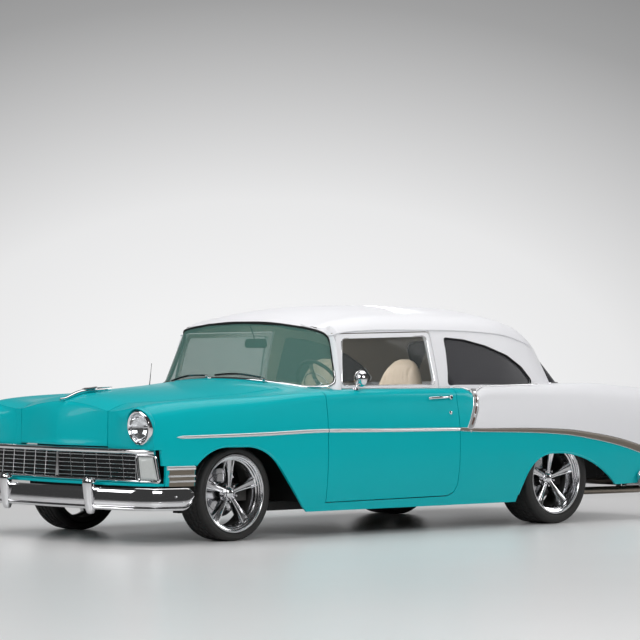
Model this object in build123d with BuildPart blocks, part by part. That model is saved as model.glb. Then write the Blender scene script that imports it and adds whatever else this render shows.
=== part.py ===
"""Two-door sedan of the mid 1950s, lowered on large alloy wheels.

Millimetres, +Z up, the front faces -Y and +X is the car's left side. The origin is on the
ground under the middle of the car.
"""

import math
import os

from build123d import *

os.makedirs("parts", exist_ok=True)

# Overall sizes and places of the axles
LENGTH = 5017.0
WHEELBASE = 2921.0
FRONT_AXLE_Y = -1658.0
REAR_AXLE_Y = FRONT_AXLE_Y + WHEELBASE
NOSE_Y = -2340.0
TAIL_Y = 2440.0
BODY_BOTTOM = 165.0
WIDEST_Z = 610.0

# Panels
SKIN = 22.0
CABIN_SKIN = 28.0
DOOR_DEPTH = 90.0
ROCKER_DEPTH = 132.0
ROCKER_TOP_Z = 216.0
GAP = 6.0
HINGE_GAP = 8.0
SEAT_GAP = 0.3
GLASS = 6.0
REACH = 1100.0
FRONT_DOOR_CUT_Y = -957.0
BELT_Z = 936.0

# Openings in the top of the body, in plan
HOOD_REAR_Y = -1120.0
HOOD_HINGE_Z = 981.0
TRUNK_HINGE_Z = 947.0
TOP_BOW = 12.0
TOP_BOW_SHARE = 0.35
CABIN_REAR_Y = 1150.0
TRUNK_FRONT_Y = 1900.0
TRUNK_HALF = 600.0
TRUNK_LOW_Z = 560.0
COWL_HALF = 643.0
COWL_SIDE = 795.0
LEDGE_SIDE = 855.0
LEDGE_REAR_Y = -757.0
LEDGE_LOW_Z = 850.0
GRILLE_TOP_Z = 580.0
GRILLE_LOW_Z = 372.0
GRILLE_HALF = 795.0
FENDER_LOW_Z = 480.0
APRON_LOW_Z = 356.0
REAR_PANEL_LOW_Z = 352.0

# Wheels: rim flange radius, and for each axle the track, the tyre radius and half widths
FLANGE_R = 243.7
BARREL_R = 228.0
BARREL_INNER_R = 214.0
HUB_R = 66.0
SPINDLE_R = 22.0
SPINDLE_FIT = 0.3
DISC_R = 150.0
HUB_BACK = 60.0
DISC_THICK = 22.0
HUB_FACE = 40.0
SPOKES = 5
SPOKE_ROOT_HALF = 22.0
SPOKE_TIP_HALF = 34.0
SPOKE_THICK = 40.0
FRONT_TRACK = 1473.0
REAR_TRACK = 1494.0
FRONT_TYRE_R = 294.0
REAR_TYRE_R = 310.0
FRONT_RIM_HALF = 99.0
REAR_RIM_HALF = 126.0
TYRE_BULGE = 10.0
KINGPIN_X = 645.0
KINGPIN_HALF = 110.0

# Chassis
RAIL_HALF = 30.0
FRONT_RAIL_X = 360.0
MID_RAIL_X = 560.0
REAR_RAIL_X = 480.0
MID_RAIL_LOW_Z = 160.0
FRONT_RAIL_LOW_Z = 280.0
FRONT_RAIL_TOP_Z = 370.0
REAR_RAIL_END_Y = 2380.0
FRAME_FRONT_Y = -2300.0
FLOOR_Z = ROCKER_TOP_Z + SEAT_GAP
FLOOR_THICK = 12.0
REAR_FLOOR_Z = 432.0
KICK_Y = 640.0
FIREWALL_Y = -1010.0
TUNNEL_HALF = 140.0
TUNNEL_Z = 400.0

# Body sections along the car, each one half of the outline seen from the front
# y, sill x, widest x, shoulder x, shoulder z, crown x, crown z, seam x, seam z, centre z
BODY_STATIONS = [
    (NOSE_Y, 800, 845, 818, 770, 712, 843, 430, 800, 860),
    (-2200, 865, 895, 870, 785, 752, 862, 445, 848, 900),
    (-1950, 890, 917, 895, 800, 795, 879, 560, 864, 925),
    (-1450, 903, 931, 912, 825, 832, 897, 640, 905, 957),
    (-960, 906, 938, 917, 850, 866, 922, 640, 945, 992),
    (-300, 906, 940, 918, 860, 872, 936, 640, 945, 992),
    (310, 906, 940, 918, 860, 872, 936, 640, 945, 992),
    (430, 906, 940, 916, 840, 868, 906, 640, 945, 992),
    (530, 906, 939, 916, 862, 868, 944, 640, 950, 985),
    (1100, 904, 936, 912, 865, 850, 950, 640, 955, 960),
    (1600, 898, 927, 903, 862, 825, 962, 610, 952, 960),
    (2050, 880, 910, 886, 850, 800, 938, 606, 925, 936),
    (2300, 860, 890, 868, 838, 790, 914, 606, 890, 902),
    (TAIL_Y, 835, 868, 850, 825, 784, 900, 606, 830, 840),
]

# Cabin sections along the car: y, belt x, drip rail x, drip rail z, centre z
CABIN_STATIONS = [
    (-812, 800, 706, 1262, 1366),
    (-620, 850, 752, 1302, 1432),
    (-300, 870, 766, 1316, 1474),
    (250, 872, 768, 1318, 1486),
    (750, 858, 750, 1300, 1482),
    (1100, 815, 690, 1245, 1440),
    (1350, 740, 590, 1170, 1345),
    (1530, 640, 440, 1090, 1252),
]
CABIN_LOW_Z = 860.0
# The cabin's inner envelopes run past the outer one at both ends, which leaves its ends open
END_OVERRUN = 1.0


def bowed(start, end, rise):
    """Middle point of an arc from start to end that bows out by rise, to the right of its way."""
    run = math.dist(start, end)
    across = ((end[1] - start[1]) / run, (start[0] - end[0]) / run)
    return (
        (start[0] + end[0]) / 2 + across[0] * rise,
        (start[1] + end[1]) / 2 + across[1] * rise,
    )


def drawn_in(row, index, count, inset):
    """Place of a section along the car, with the two end walls drawn in by inset."""
    if index == 0:
        return row[0] + inset
    if index == count - 1:
        return row[0] - inset
    return row[0]


def body_half(inset, top_inset, bottom):
    """Left half of the lower body, its walls and top drawn in, down to the height bottom."""
    with BuildPart(mode=Mode.PRIVATE) as envelope:
        for index, row in enumerate(BODY_STATIONS):
            y = drawn_in(row, index, len(BODY_STATIONS), inset)
            sill = (row[1] - inset, bottom)
            widest = (row[2] - inset, WIDEST_Z)
            shoulder = (row[3] - inset, row[4] - 0.3 * top_inset)
            crown = (row[5] - 0.6 * inset, row[6] - top_inset)
            seam = (row[7] - 0.3 * inset, row[8] - top_inset)
            centre = (0, row[9] - top_inset)
            top_bow = min(TOP_BOW, TOP_BOW_SHARE * abs(row[9] - row[8]))
            with BuildSketch(Plane.XZ.offset(-y)):
                with BuildLine():
                    Line((0, bottom), sill)
                    ThreePointArc(sill, bowed(sill, widest, 12), widest)
                    ThreePointArc(widest, bowed(widest, shoulder, 6), shoulder)
                    ThreePointArc(shoulder, bowed(shoulder, crown, 18), crown)
                    Line(crown, seam)
                    ThreePointArc(seam, bowed(seam, centre, top_bow), centre)
                    Line(centre, (0, bottom))
                make_face()
        loft(ruled=True)
    return envelope.part


def cabin_half(inset):
    """Left half of the cabin above the belt, each wall drawn in by inset."""
    with BuildPart(mode=Mode.PRIVATE) as envelope:
        for index, row in enumerate(CABIN_STATIONS):
            y, belt_x, drip_x, drip_z, top_z = row
            if inset:
                y = drawn_in(row, index, len(CABIN_STATIONS), -END_OVERRUN)
            belt = (belt_x - inset, CABIN_LOW_Z)
            drip = (drip_x - inset, drip_z - 0.4 * inset)
            turn = (drip_x - 170 - 0.6 * inset, drip_z + 0.62 * (top_z - drip_z) - inset)
            centre = (0, top_z - inset)
            with BuildSketch(Plane.XZ.offset(-y)):
                with BuildLine():
                    Line((0, CABIN_LOW_Z), belt)
                    ThreePointArc(belt, bowed(belt, drip, 12), drip)
                    ThreePointArc(drip, bowed(drip, turn, 26), turn)
                    ThreePointArc(turn, bowed(turn, centre, 14), centre)
                    Line(centre, (0, CABIN_LOW_Z))
                make_face()
        loft(ruled=True)
    return envelope.part


def side_prism(outline, low_x=0.0, high_x=REACH, grow=0.0):
    """Block whose outline is seen from the side, as y and z, from low_x to high_x."""
    with BuildPart(mode=Mode.PRIVATE) as prism:
        with BuildSketch(Plane.YZ.offset(low_x)):
            with BuildLine():
                Polyline(*outline, close=True)
            make_face()
            if grow:
                offset(amount=grow, kind=Kind.INTERSECTION)
        extrude(amount=high_x - low_x)
    return prism.part


def plan_prism(outline, low_z=0.0, high_z=1600.0, grow=0.0):
    """Block whose outline is seen from above, as x and y, from low_z to high_z."""
    with BuildPart(mode=Mode.PRIVATE) as prism:
        with BuildSketch(Plane.XY.offset(low_z)):
            with BuildLine():
                Polyline(*outline, close=True)
            make_face()
            if grow:
                offset(amount=grow, kind=Kind.INTERSECTION)
        extrude(amount=high_z - low_z)
    return prism.part


def block(low, high):
    """Box between two corners."""
    size = [b - a for a, b in zip(low, high)]
    middle = [(a + b) / 2 for a, b in zip(low, high)]
    with BuildPart(mode=Mode.PRIVATE) as solid:
        with Locations(tuple(middle)):
            Box(*size)
    return solid.part


def save(part, name):
    """Label a finished piece and write it as its own file."""
    part.label = name
    export_step(part, f"parts/{name}.step")


def save_pair(part, name):
    """Write a left piece and its mirror image on the right."""
    save(part, f"{name}_left")
    save(mirror(part, about=Plane.YZ), f"{name}_right")


# Envelopes that the panels are cut from
body_outer = body_half(0, 0, BODY_BOTTOM)
body_inner = body_half(SKIN, SKIN, BODY_BOTTOM - 60)
cabin_outer = cabin_half(0)
cabin_inner = cabin_half(CABIN_SKIN)

with BuildPart() as body_shell:
    add(body_outer)
    add(body_inner, mode=Mode.SUBTRACT)

with BuildPart() as cabin_shell:
    add(cabin_outer)
    add(cabin_inner, mode=Mode.SUBTRACT)
    add(body_outer, mode=Mode.SUBTRACT)

# Outlines in the side view, y and z
with BuildPart() as front_arch:
    with BuildSketch(Plane.YZ):
        with BuildLine():
            Line((-2045, FENDER_LOW_Z), (-2500, FENDER_LOW_Z))
            Line((-2500, FENDER_LOW_Z), (-2500, 50))
            Line((-2500, 50), (-1118, 50))
            Line((-1118, 50), (-1118, 166))
            Line((-1118, 166), (-1158, 201))
            Line((-1158, 201), (-1375, 463))
            ThreePointArc((-1375, 463), (-1475, 545), (-1627, 589))
            Line((-1627, 589), (-1795, 591))
            ThreePointArc((-1795, 591), (-1955, 551), (-2045, FENDER_LOW_Z))
        make_face()
    extrude(amount=REACH)

with BuildPart() as rear_arch:
    with BuildSketch(Plane.YZ):
        with BuildLine():
            Line((815, 50), (815, 166))
            Line((815, 166), (832, 214))
            Line((832, 214), (889, 333))
            ThreePointArc((889, 333), (985, 438), (1149, 490))
            ThreePointArc((1149, 490), (1480, 452), (1847, 254))
            Line((1847, 254), (2104, 258))
            Line((2104, 258), (2140, REAR_PANEL_LOW_Z))
            Line((2140, REAR_PANEL_LOW_Z), (2500, REAR_PANEL_LOW_Z))
            Line((2500, REAR_PANEL_LOW_Z), (2500, 50))
            Line((2500, 50), (815, 50))
        make_face()
    extrude(amount=REACH)

door_outline = [
    (FRONT_DOOR_CUT_Y, 222),
    (140, 230),
    (196, 252),
    (226, 300),
    (236, 420),
    (236, 660),
    (216, 1000),
    (FRONT_DOOR_CUT_Y, 1000),
]
door_box_outline = [
    (FRONT_DOOR_CUT_Y, 222),
    (126, 230),
    (196, 290),
    (214, 420),
    (214, 660),
    (200, BELT_Z - 8),
    (FRONT_DOOR_CUT_Y, BELT_Z - 8),
]
door_frame_outline = [(-757, 880), (-711, 1284), (100, 1302), (112, 880)]
door_glass_outline = [(-723, 952), (-677, 1257), (72, 1276), (85, 957)]
quarter_glass_outline = [
    (209, 955),
    (238, 1266),
    (426, 1253),
    (635, 1214),
    (850, 1146),
    (985, 1071),
    (1068, 985),
    (1052, 953),
]
hood_outline = [
    (-50, -2420),
    (427, -2420),
    (427, NOSE_Y),
    (442, -2200),
    (557, -1950),
    (637, -1450),
    (637, HOOD_REAR_Y),
    (-50, HOOD_REAR_Y),
]

# Lid hinges: each has a knuckle on the lid and one on the body, side by side on the axis
KNUCKLE_R = 3.5
KNUCKLE_LONG = 34.0
HINGE_X = 90.0


def knuckle(y, z, side_x, web_y):
    """Hinge knuckle on the left of the car from side_x outwards, with a web towards web_y."""
    with BuildPart(mode=Mode.PRIVATE) as barrel:
        with Locations(Plane((side_x, y, z), z_dir=(1, 0, 0))):
            Cylinder(KNUCKLE_R, KNUCKLE_LONG, align=(Align.CENTER, Align.CENTER, Align.MIN))
        add(
            block(
                (side_x, min(y, web_y), z - 12),
                (side_x + KNUCKLE_LONG, max(y, web_y), z - 2),
            )
        )
    return barrel.part


# Door hinge: one knuckle on the fender over one on the door, at the panels' outer corner
DOOR_HINGE_X = 940.0
DOOR_PIN_R = 2.5
DOOR_PIN_TALL = 16.0
DOOR_PIN_Z = 612.0


def door_knuckle(low_z, web_y):
    """Upright hinge knuckle from the height low_z, with a web to web_y."""
    with BuildPart(mode=Mode.PRIVATE) as barrel:
        with Locations((DOOR_HINGE_X, FRONT_DOOR_CUT_Y, low_z)):
            Cylinder(DOOR_PIN_R, DOOR_PIN_TALL, align=(Align.CENTER, Align.CENTER, Align.MIN))
        add(
            block(
                (DOOR_HINGE_X - 12, min(FRONT_DOOR_CUT_Y, web_y), low_z),
                (DOOR_HINGE_X, max(FRONT_DOOR_CUT_Y, web_y), low_z + DOOR_PIN_TALL),
            )
        )
    return barrel.part


# Hood: the top skin and the pointed nose, hinged at its rear edge
with BuildPart() as hood:
    add(body_shell.part)
    add(plan_prism(hood_outline, GRILLE_TOP_Z + 8), mode=Mode.INTERSECT)
    add(block((0, NOSE_Y - 80, 0), (REACH, HOOD_REAR_Y, 1200)), mode=Mode.INTERSECT)
nose_plan = [(0, -2395), (427, NOSE_Y - 4), (427, NOSE_Y + 10), (0, NOSE_Y + 10)]
nose_side = [(-2300, 588), (-2396, 588), (-2402, 740), (-2384, 826), (NOSE_Y, 858), (-2300, 858)]
with BuildPart() as nose:
    add(plan_prism(nose_plan, GRILLE_TOP_Z + 8, 860))
    add(side_prism(nose_side), mode=Mode.INTERSECT)
    add(body_inner, mode=Mode.SUBTRACT)
hood_hinge_y = HOOD_REAR_Y + HINGE_GAP / 2
with BuildPart() as whole_hood:
    add(hood.part)
    add(nose.part)
    add(knuckle(hood_hinge_y, HOOD_HINGE_Z, HINGE_X + SEAT_GAP, HOOD_REAR_Y - 4))
    mirror(about=Plane.YZ)
save(whole_hood.part, "hood")

# Front fender, from the headlamp to the door
LAMP_X = 736.0
LAMP_Z = 711.0
LAMP_HOLE_R = 90.0
BEZEL_R = 108.0
BEZEL_DEEP = 38.0
with BuildPart() as fender:
    add(body_shell.part)
    add(block((0, NOSE_Y - 10, 0), (REACH, FRONT_DOOR_CUT_Y - GAP, 1200)), mode=Mode.INTERSECT)
    add(plan_prism(hood_outline, 0, 1600, GAP), mode=Mode.SUBTRACT)
    add(
        block((-10, HOOD_REAR_Y - 20, 0), (COWL_HALF, 0, 1200)),
        mode=Mode.SUBTRACT,
    )
    add(block((-10, NOSE_Y - 20, 0), (803, NOSE_Y + 60, GRILLE_TOP_Z)), mode=Mode.SUBTRACT)
    add(front_arch.part, mode=Mode.SUBTRACT)
    with Locations(Plane((LAMP_X, NOSE_Y, LAMP_Z), z_dir=(0, -1, 0))):
        Cylinder(LAMP_HOLE_R, 60, mode=Mode.SUBTRACT)
    add(door_knuckle(DOOR_PIN_Z, FRONT_DOOR_CUT_Y - GAP - 4))
save_pair(fender.part, "front_fender")

# Cowl: the panel between the hood and the windscreen
cowl_outline = [
    (-50, HOOD_REAR_Y + HINGE_GAP),
    (COWL_HALF - SEAT_GAP, HOOD_REAR_Y + HINGE_GAP),
    (COWL_HALF - SEAT_GAP, FRONT_DOOR_CUT_Y),
    (LEDGE_SIDE, FRONT_DOOR_CUT_Y),
    (LEDGE_SIDE, LEDGE_REAR_Y),
    (740, LEDGE_REAR_Y),
    (600, -842),
    (300, -915),
    (-50, -950),
]
with BuildPart() as half_cowl:
    add(body_shell.part)
    add(plan_prism(cowl_outline, LEDGE_LOW_Z), mode=Mode.INTERSECT)
    add(knuckle(hood_hinge_y, HOOD_HINGE_Z, HINGE_X - KNUCKLE_LONG, HOOD_REAR_Y + HINGE_GAP + 4))
with BuildPart() as cowl:
    add(half_cowl.part)
    mirror(about=Plane.YZ)
save(cowl.part, "cowl")

# Body side: the quarter panel with the rocker below the door, one welded unit
with BuildPart() as side_panel:
    add(body_shell.part)
    add(block((0, FRONT_DOOR_CUT_Y - GAP, 0), (REACH, TAIL_Y + 10, 1200)), mode=Mode.INTERSECT)
    add(side_prism(door_outline, 0, REACH, GAP), mode=Mode.SUBTRACT)
    add(block((-10, -1200, 600), (COWL_SIDE + 20, CABIN_REAR_Y, 1200)), mode=Mode.SUBTRACT)
    add(block((-10, 0, 0), (TRUNK_HALF + GAP, TAIL_Y + 20, 1200)), mode=Mode.SUBTRACT)
    add(rear_arch.part, mode=Mode.SUBTRACT)
with BuildPart() as rocker:
    add(body_outer)
    add(body_half(ROCKER_DEPTH, SKIN, BODY_BOTTOM - 60), mode=Mode.SUBTRACT)
    add(block((0, FRONT_DOOR_CUT_Y - GAP, 0), (REACH, 812, ROCKER_TOP_Z)), mode=Mode.INTERSECT)
with BuildPart() as body_side:
    add(side_panel.part)
    add(rocker.part)
save_pair(body_side.part, "body_side")

# Rear deck under the back window, and the tail panel below the trunk lid
with BuildPart() as half_deck:
    add(body_shell.part)
    add(
        block(
            (0, CABIN_REAR_Y, 850),
            (TRUNK_HALF + GAP - SEAT_GAP, TRUNK_FRONT_Y - HINGE_GAP, 1200),
        ),
        mode=Mode.INTERSECT,
    )
trunk_hinge_y = TRUNK_FRONT_Y - HINGE_GAP / 2
with BuildPart() as rear_deck:
    add(half_deck.part)
    add(knuckle(trunk_hinge_y, TRUNK_HINGE_Z, HINGE_X - KNUCKLE_LONG, TRUNK_FRONT_Y - HINGE_GAP - 4))
    mirror(about=Plane.YZ)
save(rear_deck.part, "rear_deck")

with BuildPart() as half_tail:
    add(body_shell.part)
    add(
        block(
            (0, 2300, REAR_PANEL_LOW_Z),
            (TRUNK_HALF + GAP - SEAT_GAP, TAIL_Y + 10, TRUNK_LOW_Z - GAP),
        ),
        mode=Mode.INTERSECT,
    )
with BuildPart() as tail_panel:
    add(half_tail.part)
    mirror(about=Plane.YZ)
save(tail_panel.part, "tail_panel")

# Trunk lid, with two holes for a licence plate
PLATE_Z = 690.0
PLATE_HOLE_SPACING = 177.8
PLATE_HOLE_R = 3.5
with BuildPart() as half_lid:
    add(body_shell.part)
    add(
        block((0, TRUNK_FRONT_Y, TRUNK_LOW_Z), (TRUNK_HALF, TAIL_Y + 10, 1200)),
        mode=Mode.INTERSECT,
    )
with BuildPart() as trunk_lid:
    add(half_lid.part)
    add(knuckle(trunk_hinge_y, TRUNK_HINGE_Z, HINGE_X + SEAT_GAP, TRUNK_FRONT_Y + 4))
    mirror(about=Plane.YZ)
    with Locations(Plane((0, TAIL_Y, PLATE_Z), x_dir=(1, 0, 0), z_dir=(0, 1, 0))):
        with GridLocations(PLATE_HOLE_SPACING, 0, 2, 1):
            Cylinder(PLATE_HOLE_R, 120, mode=Mode.SUBTRACT)
save(trunk_lid.part, "trunk_lid")

# Doors: the skin flange, the box behind it, the frame round the glass and the glass
door_inner = body_half(DOOR_DEPTH, SKIN, BODY_BOTTOM - 60)
with BuildPart() as door_box:
    add(body_outer)
    add(door_inner, mode=Mode.SUBTRACT)
    add(side_prism(door_box_outline, 700), mode=Mode.INTERSECT)
    add(block((700, -1200, 0), (COWL_SIDE + 2 * GAP, 300, 1200)), mode=Mode.SUBTRACT)
with BuildPart() as door_skin:
    add(body_shell.part)
    add(side_prism(door_outline, COWL_SIDE + 2 * GAP), mode=Mode.INTERSECT)
with BuildPart() as door_shell:
    add(door_skin.part)
    add(door_box.part)
    add(
        block(
            (0, FRONT_DOOR_CUT_Y - GAP, LEDGE_LOW_Z),
            (LEDGE_SIDE + GAP, LEDGE_REAR_Y + GAP, BELT_Z + GAP),
        ),
        mode=Mode.SUBTRACT,
    )
    add(
        block(
            (DOOR_HINGE_X - 16, FRONT_DOOR_CUT_Y - 1, DOOR_PIN_Z - SEAT_GAP),
            (REACH, FRONT_DOOR_CUT_Y + GAP, DOOR_PIN_Z + DOOR_PIN_TALL + SEAT_GAP),
        ),
        mode=Mode.SUBTRACT,
    )
    add(door_knuckle(DOOR_PIN_Z - SEAT_GAP - DOOR_PIN_TALL, FRONT_DOOR_CUT_Y + 4))
save_pair(door_shell.part, "door_shell")

with BuildPart() as door_frame:
    add(cabin_shell.part)
    add(side_prism(door_frame_outline), mode=Mode.INTERSECT)
    add(side_prism(door_glass_outline), mode=Mode.SUBTRACT)
save_pair(door_frame.part, "door_frame")

with BuildPart() as glass_sheet:
    add(cabin_half(CABIN_SKIN / 2 - GLASS / 2))
    add(cabin_half(CABIN_SKIN / 2 + GLASS / 2), mode=Mode.SUBTRACT)

with BuildPart() as door_glass:
    add(glass_sheet.part)
    add(side_prism(door_glass_outline, 0, REACH, -SEAT_GAP), mode=Mode.INTERSECT)
save_pair(door_glass.part, "door_glass")

with BuildPart() as half_quarter_glass:
    add(glass_sheet.part)
    add(side_prism(quarter_glass_outline, 0, REACH, -SEAT_GAP), mode=Mode.INTERSECT)
with BuildPart() as quarter_glass:
    add(half_quarter_glass.part)
    mirror(about=Plane.YZ)
save(quarter_glass.part, "quarter_glass")

# Roof with its pillars
door_hole = [(-1000, 800), (-1000, 1258), (-717, 1290), (114, 1308), (126, 800)]
rear_window_hole = [(1330, 1248), (1450, 930), (2000, 800), (2000, 1248)]
with BuildPart() as half_roof:
    add(cabin_shell.part)
    add(side_prism(door_hole), mode=Mode.SUBTRACT)
    add(side_prism(quarter_glass_outline), mode=Mode.SUBTRACT)
    add(side_prism(rear_window_hole), mode=Mode.SUBTRACT)
    with BuildSketch(Plane.XY.offset(CABIN_LOW_Z)):
        with BuildLine():
            Polyline((784, -832), (806, -832), (852, -768), (830, -768), close=True)
        make_face()
    with BuildSketch(Plane.XY.offset(1290)):
        with BuildLine():
            Polyline((664, -795), (692, -795), (752, -722), (722, -722), close=True)
        make_face()
    loft(ruled=True)
    add(body_outer, mode=Mode.SUBTRACT)
with BuildPart() as roof:
    add(half_roof.part)
    mirror(about=Plane.YZ)
save(roof.part, "roof")


def curved_band(z, end, turn, corner, centre_y, inset):
    """Face between two bowed lines in plan: a section of wrapped glass at height z."""
    with BuildSketch(Plane.XY.offset(z), mode=Mode.PRIVATE) as band:
        with BuildLine():
            lines = []
            for draw in (0, inset):
                sign = 1 if centre_y < 0 else -1
                e = (end[0] - draw, end[1])
                t = (turn[0] - 0.9 * draw, turn[1] + 0.3 * sign * draw)
                c = (corner[0] - 0.4 * draw, corner[1] + 0.9 * sign * draw)
                m = (0, centre_y + sign * draw)
                lines.append((e, t, c, m))
            for e, t, c, m in lines:
                ThreePointArc(e, t, c)
                ThreePointArc(c, m, (-c[0], c[1]))
                ThreePointArc((-c[0], c[1]), (-t[0], t[1]), (-e[0], e[1]))
            Line(lines[0][0], lines[1][0])
            Line((-lines[0][0][0], lines[0][0][1]), (-lines[1][0][0], lines[1][0][1]))
        make_face()
    return band.sketch


SCREEN_GLASS = 8.0
# The windscreen's outline from the front
with BuildPart() as screen_view:
    with BuildSketch(Plane.XZ.offset(600)):
        with BuildLine():
            Polyline((-573, 1303), (-690, 1255), (-830, 1240), (-830, 850), (830, 850), (830, 1240),
                     (690, 1255), (573, 1303))
            ThreePointArc((573, 1303), (0, 1360), (-573, 1303))
        make_face()
    extrude(amount=600)
with BuildPart() as windscreen:
    add(curved_band(900, (800, -815), (770, -868), (700, -905), -1052, SCREEN_GLASS))
    add(curved_band(1400, (646, -745), (622, -775), (570, -788), -800, SCREEN_GLASS))
    loft(ruled=True)
    add(screen_view.part, mode=Mode.INTERSECT)
    add(body_outer, mode=Mode.SUBTRACT)
    add(mirror(body_outer, about=Plane.YZ), mode=Mode.SUBTRACT)
    add(roof.part, mode=Mode.SUBTRACT)
windscreen_solid = windscreen.part.solids().sort_by(SortBy.VOLUME)[-1]
save(Part(windscreen_solid.wrapped), "windscreen")

with BuildPart() as rear_window:
    add(curved_band(880, (672, 1467), (650, 1560), (590, 1650), 1928, SCREEN_GLASS))
    add(curved_band(1300, (480, 1281), (468, 1330), (430, 1370), 1488, SCREEN_GLASS))
    loft(ruled=True)
    add(body_outer, mode=Mode.SUBTRACT)
    add(mirror(body_outer, about=Plane.YZ), mode=Mode.SUBTRACT)
    add(roof.part, mode=Mode.SUBTRACT)
rear_window_solid = rear_window.part.solids().sort_by(SortBy.VOLUME)[-1]
save(Part(rear_window_solid.wrapped), "rear_window")

# Grille: slanted halves of bars in a frame, meeting in a shallow point
GRILLE_THICK = 14.0
GRILLE_POINT_Y = -2395.0
GRILLE_END_Y = NOSE_Y - 6
GRILLE_COLUMNS = 14
GRILLE_ROWS = 7
GRILLE_BAR = 9.0
GRILLE_FRAME = 16.0
grille_run = math.hypot(GRILLE_HALF, GRILLE_END_Y - GRILLE_POINT_Y)
grille_tall = GRILLE_TOP_Z - SEAT_GAP - GRILLE_LOW_Z - SEAT_GAP
grille_slope = Plane(
    origin=(0, GRILLE_POINT_Y + GRILLE_THICK, GRILLE_LOW_Z + SEAT_GAP),
    x_dir=(GRILLE_HALF, GRILLE_END_Y - GRILLE_POINT_Y, 0),
    z_dir=(GRILLE_END_Y - GRILLE_POINT_Y, -GRILLE_HALF, 0),
)
cell_wide = (grille_run - 2 * GRILLE_FRAME) / GRILLE_COLUMNS
cell_tall = (grille_tall - 2 * GRILLE_FRAME) / GRILLE_ROWS
with BuildPart() as grille:
    with BuildSketch(grille_slope):
        with Locations((grille_run / 2, grille_tall / 2)):
            Rectangle(grille_run, grille_tall)
            with GridLocations(cell_wide, cell_tall, GRILLE_COLUMNS, GRILLE_ROWS):
                Rectangle(cell_wide - GRILLE_BAR, cell_tall - GRILLE_BAR, mode=Mode.SUBTRACT)
    extrude(amount=GRILLE_THICK)
    add(
        block(
            (0, GRILLE_POINT_Y + 1, GRILLE_LOW_Z + SEAT_GAP),
            (GRILLE_BAR, GRILLE_POINT_Y + GRILLE_THICK, GRILLE_TOP_Z - SEAT_GAP),
        )
    )
    mirror(about=Plane.YZ)
save(grille.part, "grille")

# Apron: the shelf under the grille and the side panels that carry the three bright bars
with BuildPart() as half_apron:
    add(body_shell.part)
    add(
        block((GRILLE_HALF + 6, NOSE_Y - 10, APRON_LOW_Z), (REACH, -2052, FENDER_LOW_Z - SEAT_GAP)),
        mode=Mode.INTERSECT,
    )
    with BuildSketch(Plane.XY.offset(APRON_LOW_Z)):
        with BuildLine():
            Polyline((0, -2440), (420, -2420), (800, -2352), (822, -2318), (780, -2300),
                     (0, -2360), close=True)
        make_face()
    extrude(amount=GRILLE_LOW_Z - APRON_LOW_Z)
with BuildPart() as apron:
    add(half_apron.part)
    mirror(about=Plane.YZ)
save(apron.part, "front_apron")

# Headlamps: a bright bezel seated on the fender's face and the bowl behind the lens
LAMP_BOWL_R = LAMP_HOLE_R - SEAT_GAP
LAMP_BOWL_DEEP = 50.0
LENS_R = 84.0
with BuildPart() as headlamp:
    with BuildSketch(Plane.XZ):
        with BuildLine():
            Line((0, -LAMP_BOWL_DEEP), (LAMP_BOWL_R, -18))
            Line((LAMP_BOWL_R, -18), (LAMP_BOWL_R, SEAT_GAP))
            Line((LAMP_BOWL_R, SEAT_GAP), (BEZEL_R, SEAT_GAP))
            Line((BEZEL_R, SEAT_GAP), (BEZEL_R - 3, 26))
            Line((BEZEL_R - 3, 26), (BEZEL_R - 16, BEZEL_DEEP))
            Line((BEZEL_R - 16, BEZEL_DEEP), (LENS_R, 22))
            Line((LENS_R, 22), (LENS_R / 2, 34))
            Line((LENS_R / 2, 34), (0, BEZEL_DEEP))
            Line((0, BEZEL_DEEP), (0, -LAMP_BOWL_DEEP))
        make_face()
    revolve(axis=Axis.Z)
lamp_place = Plane((LAMP_X, NOSE_Y, LAMP_Z), z_dir=(0, -1, 0)).location
with BuildPart() as headlamps:
    add(lamp_place * headlamp.part)
    mirror(about=Plane.YZ)
save(headlamps.part, "headlamps")

# Tail lamps on the ends of the quarter panels
TAIL_LAMP_X = 790.0
TAIL_LAMP_Z = 770.0
TAIL_LAMP_WIDE = 96.0
TAIL_LAMP_TALL = 190.0
TAIL_LAMP_DEEP = 34.0
with BuildPart() as tail_lamps:
    with BuildSketch(Plane.XZ.offset(-TAIL_Y - SEAT_GAP)):
        with Locations((TAIL_LAMP_X, TAIL_LAMP_Z), (-TAIL_LAMP_X, TAIL_LAMP_Z)):
            RectangleRounded(TAIL_LAMP_WIDE, TAIL_LAMP_TALL, 40)
    extrude(amount=-TAIL_LAMP_DEEP)
save(tail_lamps.part, "tail_lamps")

# Bumpers: a wrapped blade with two upright guards
BLADE_LOW_Z = 212.0
BLADE_TALL = 132.0
BLADE_THICK = 26.0
GUARD_X = 415.0
GUARD_LOW_Z = 178.0
GUARD_TALL = 224.0
GUARD_WIDE = 72.0
GUARD_DEEP = 52.0
HALF_LENGTH = LENGTH / 2
# Half of a bumper's outer line in plan: x, distance in from the car's end, going outwards
BLADE_PLAN = [(0, 14), (420, 34), (780, 112), (908, 240), (938, 432)]


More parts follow.
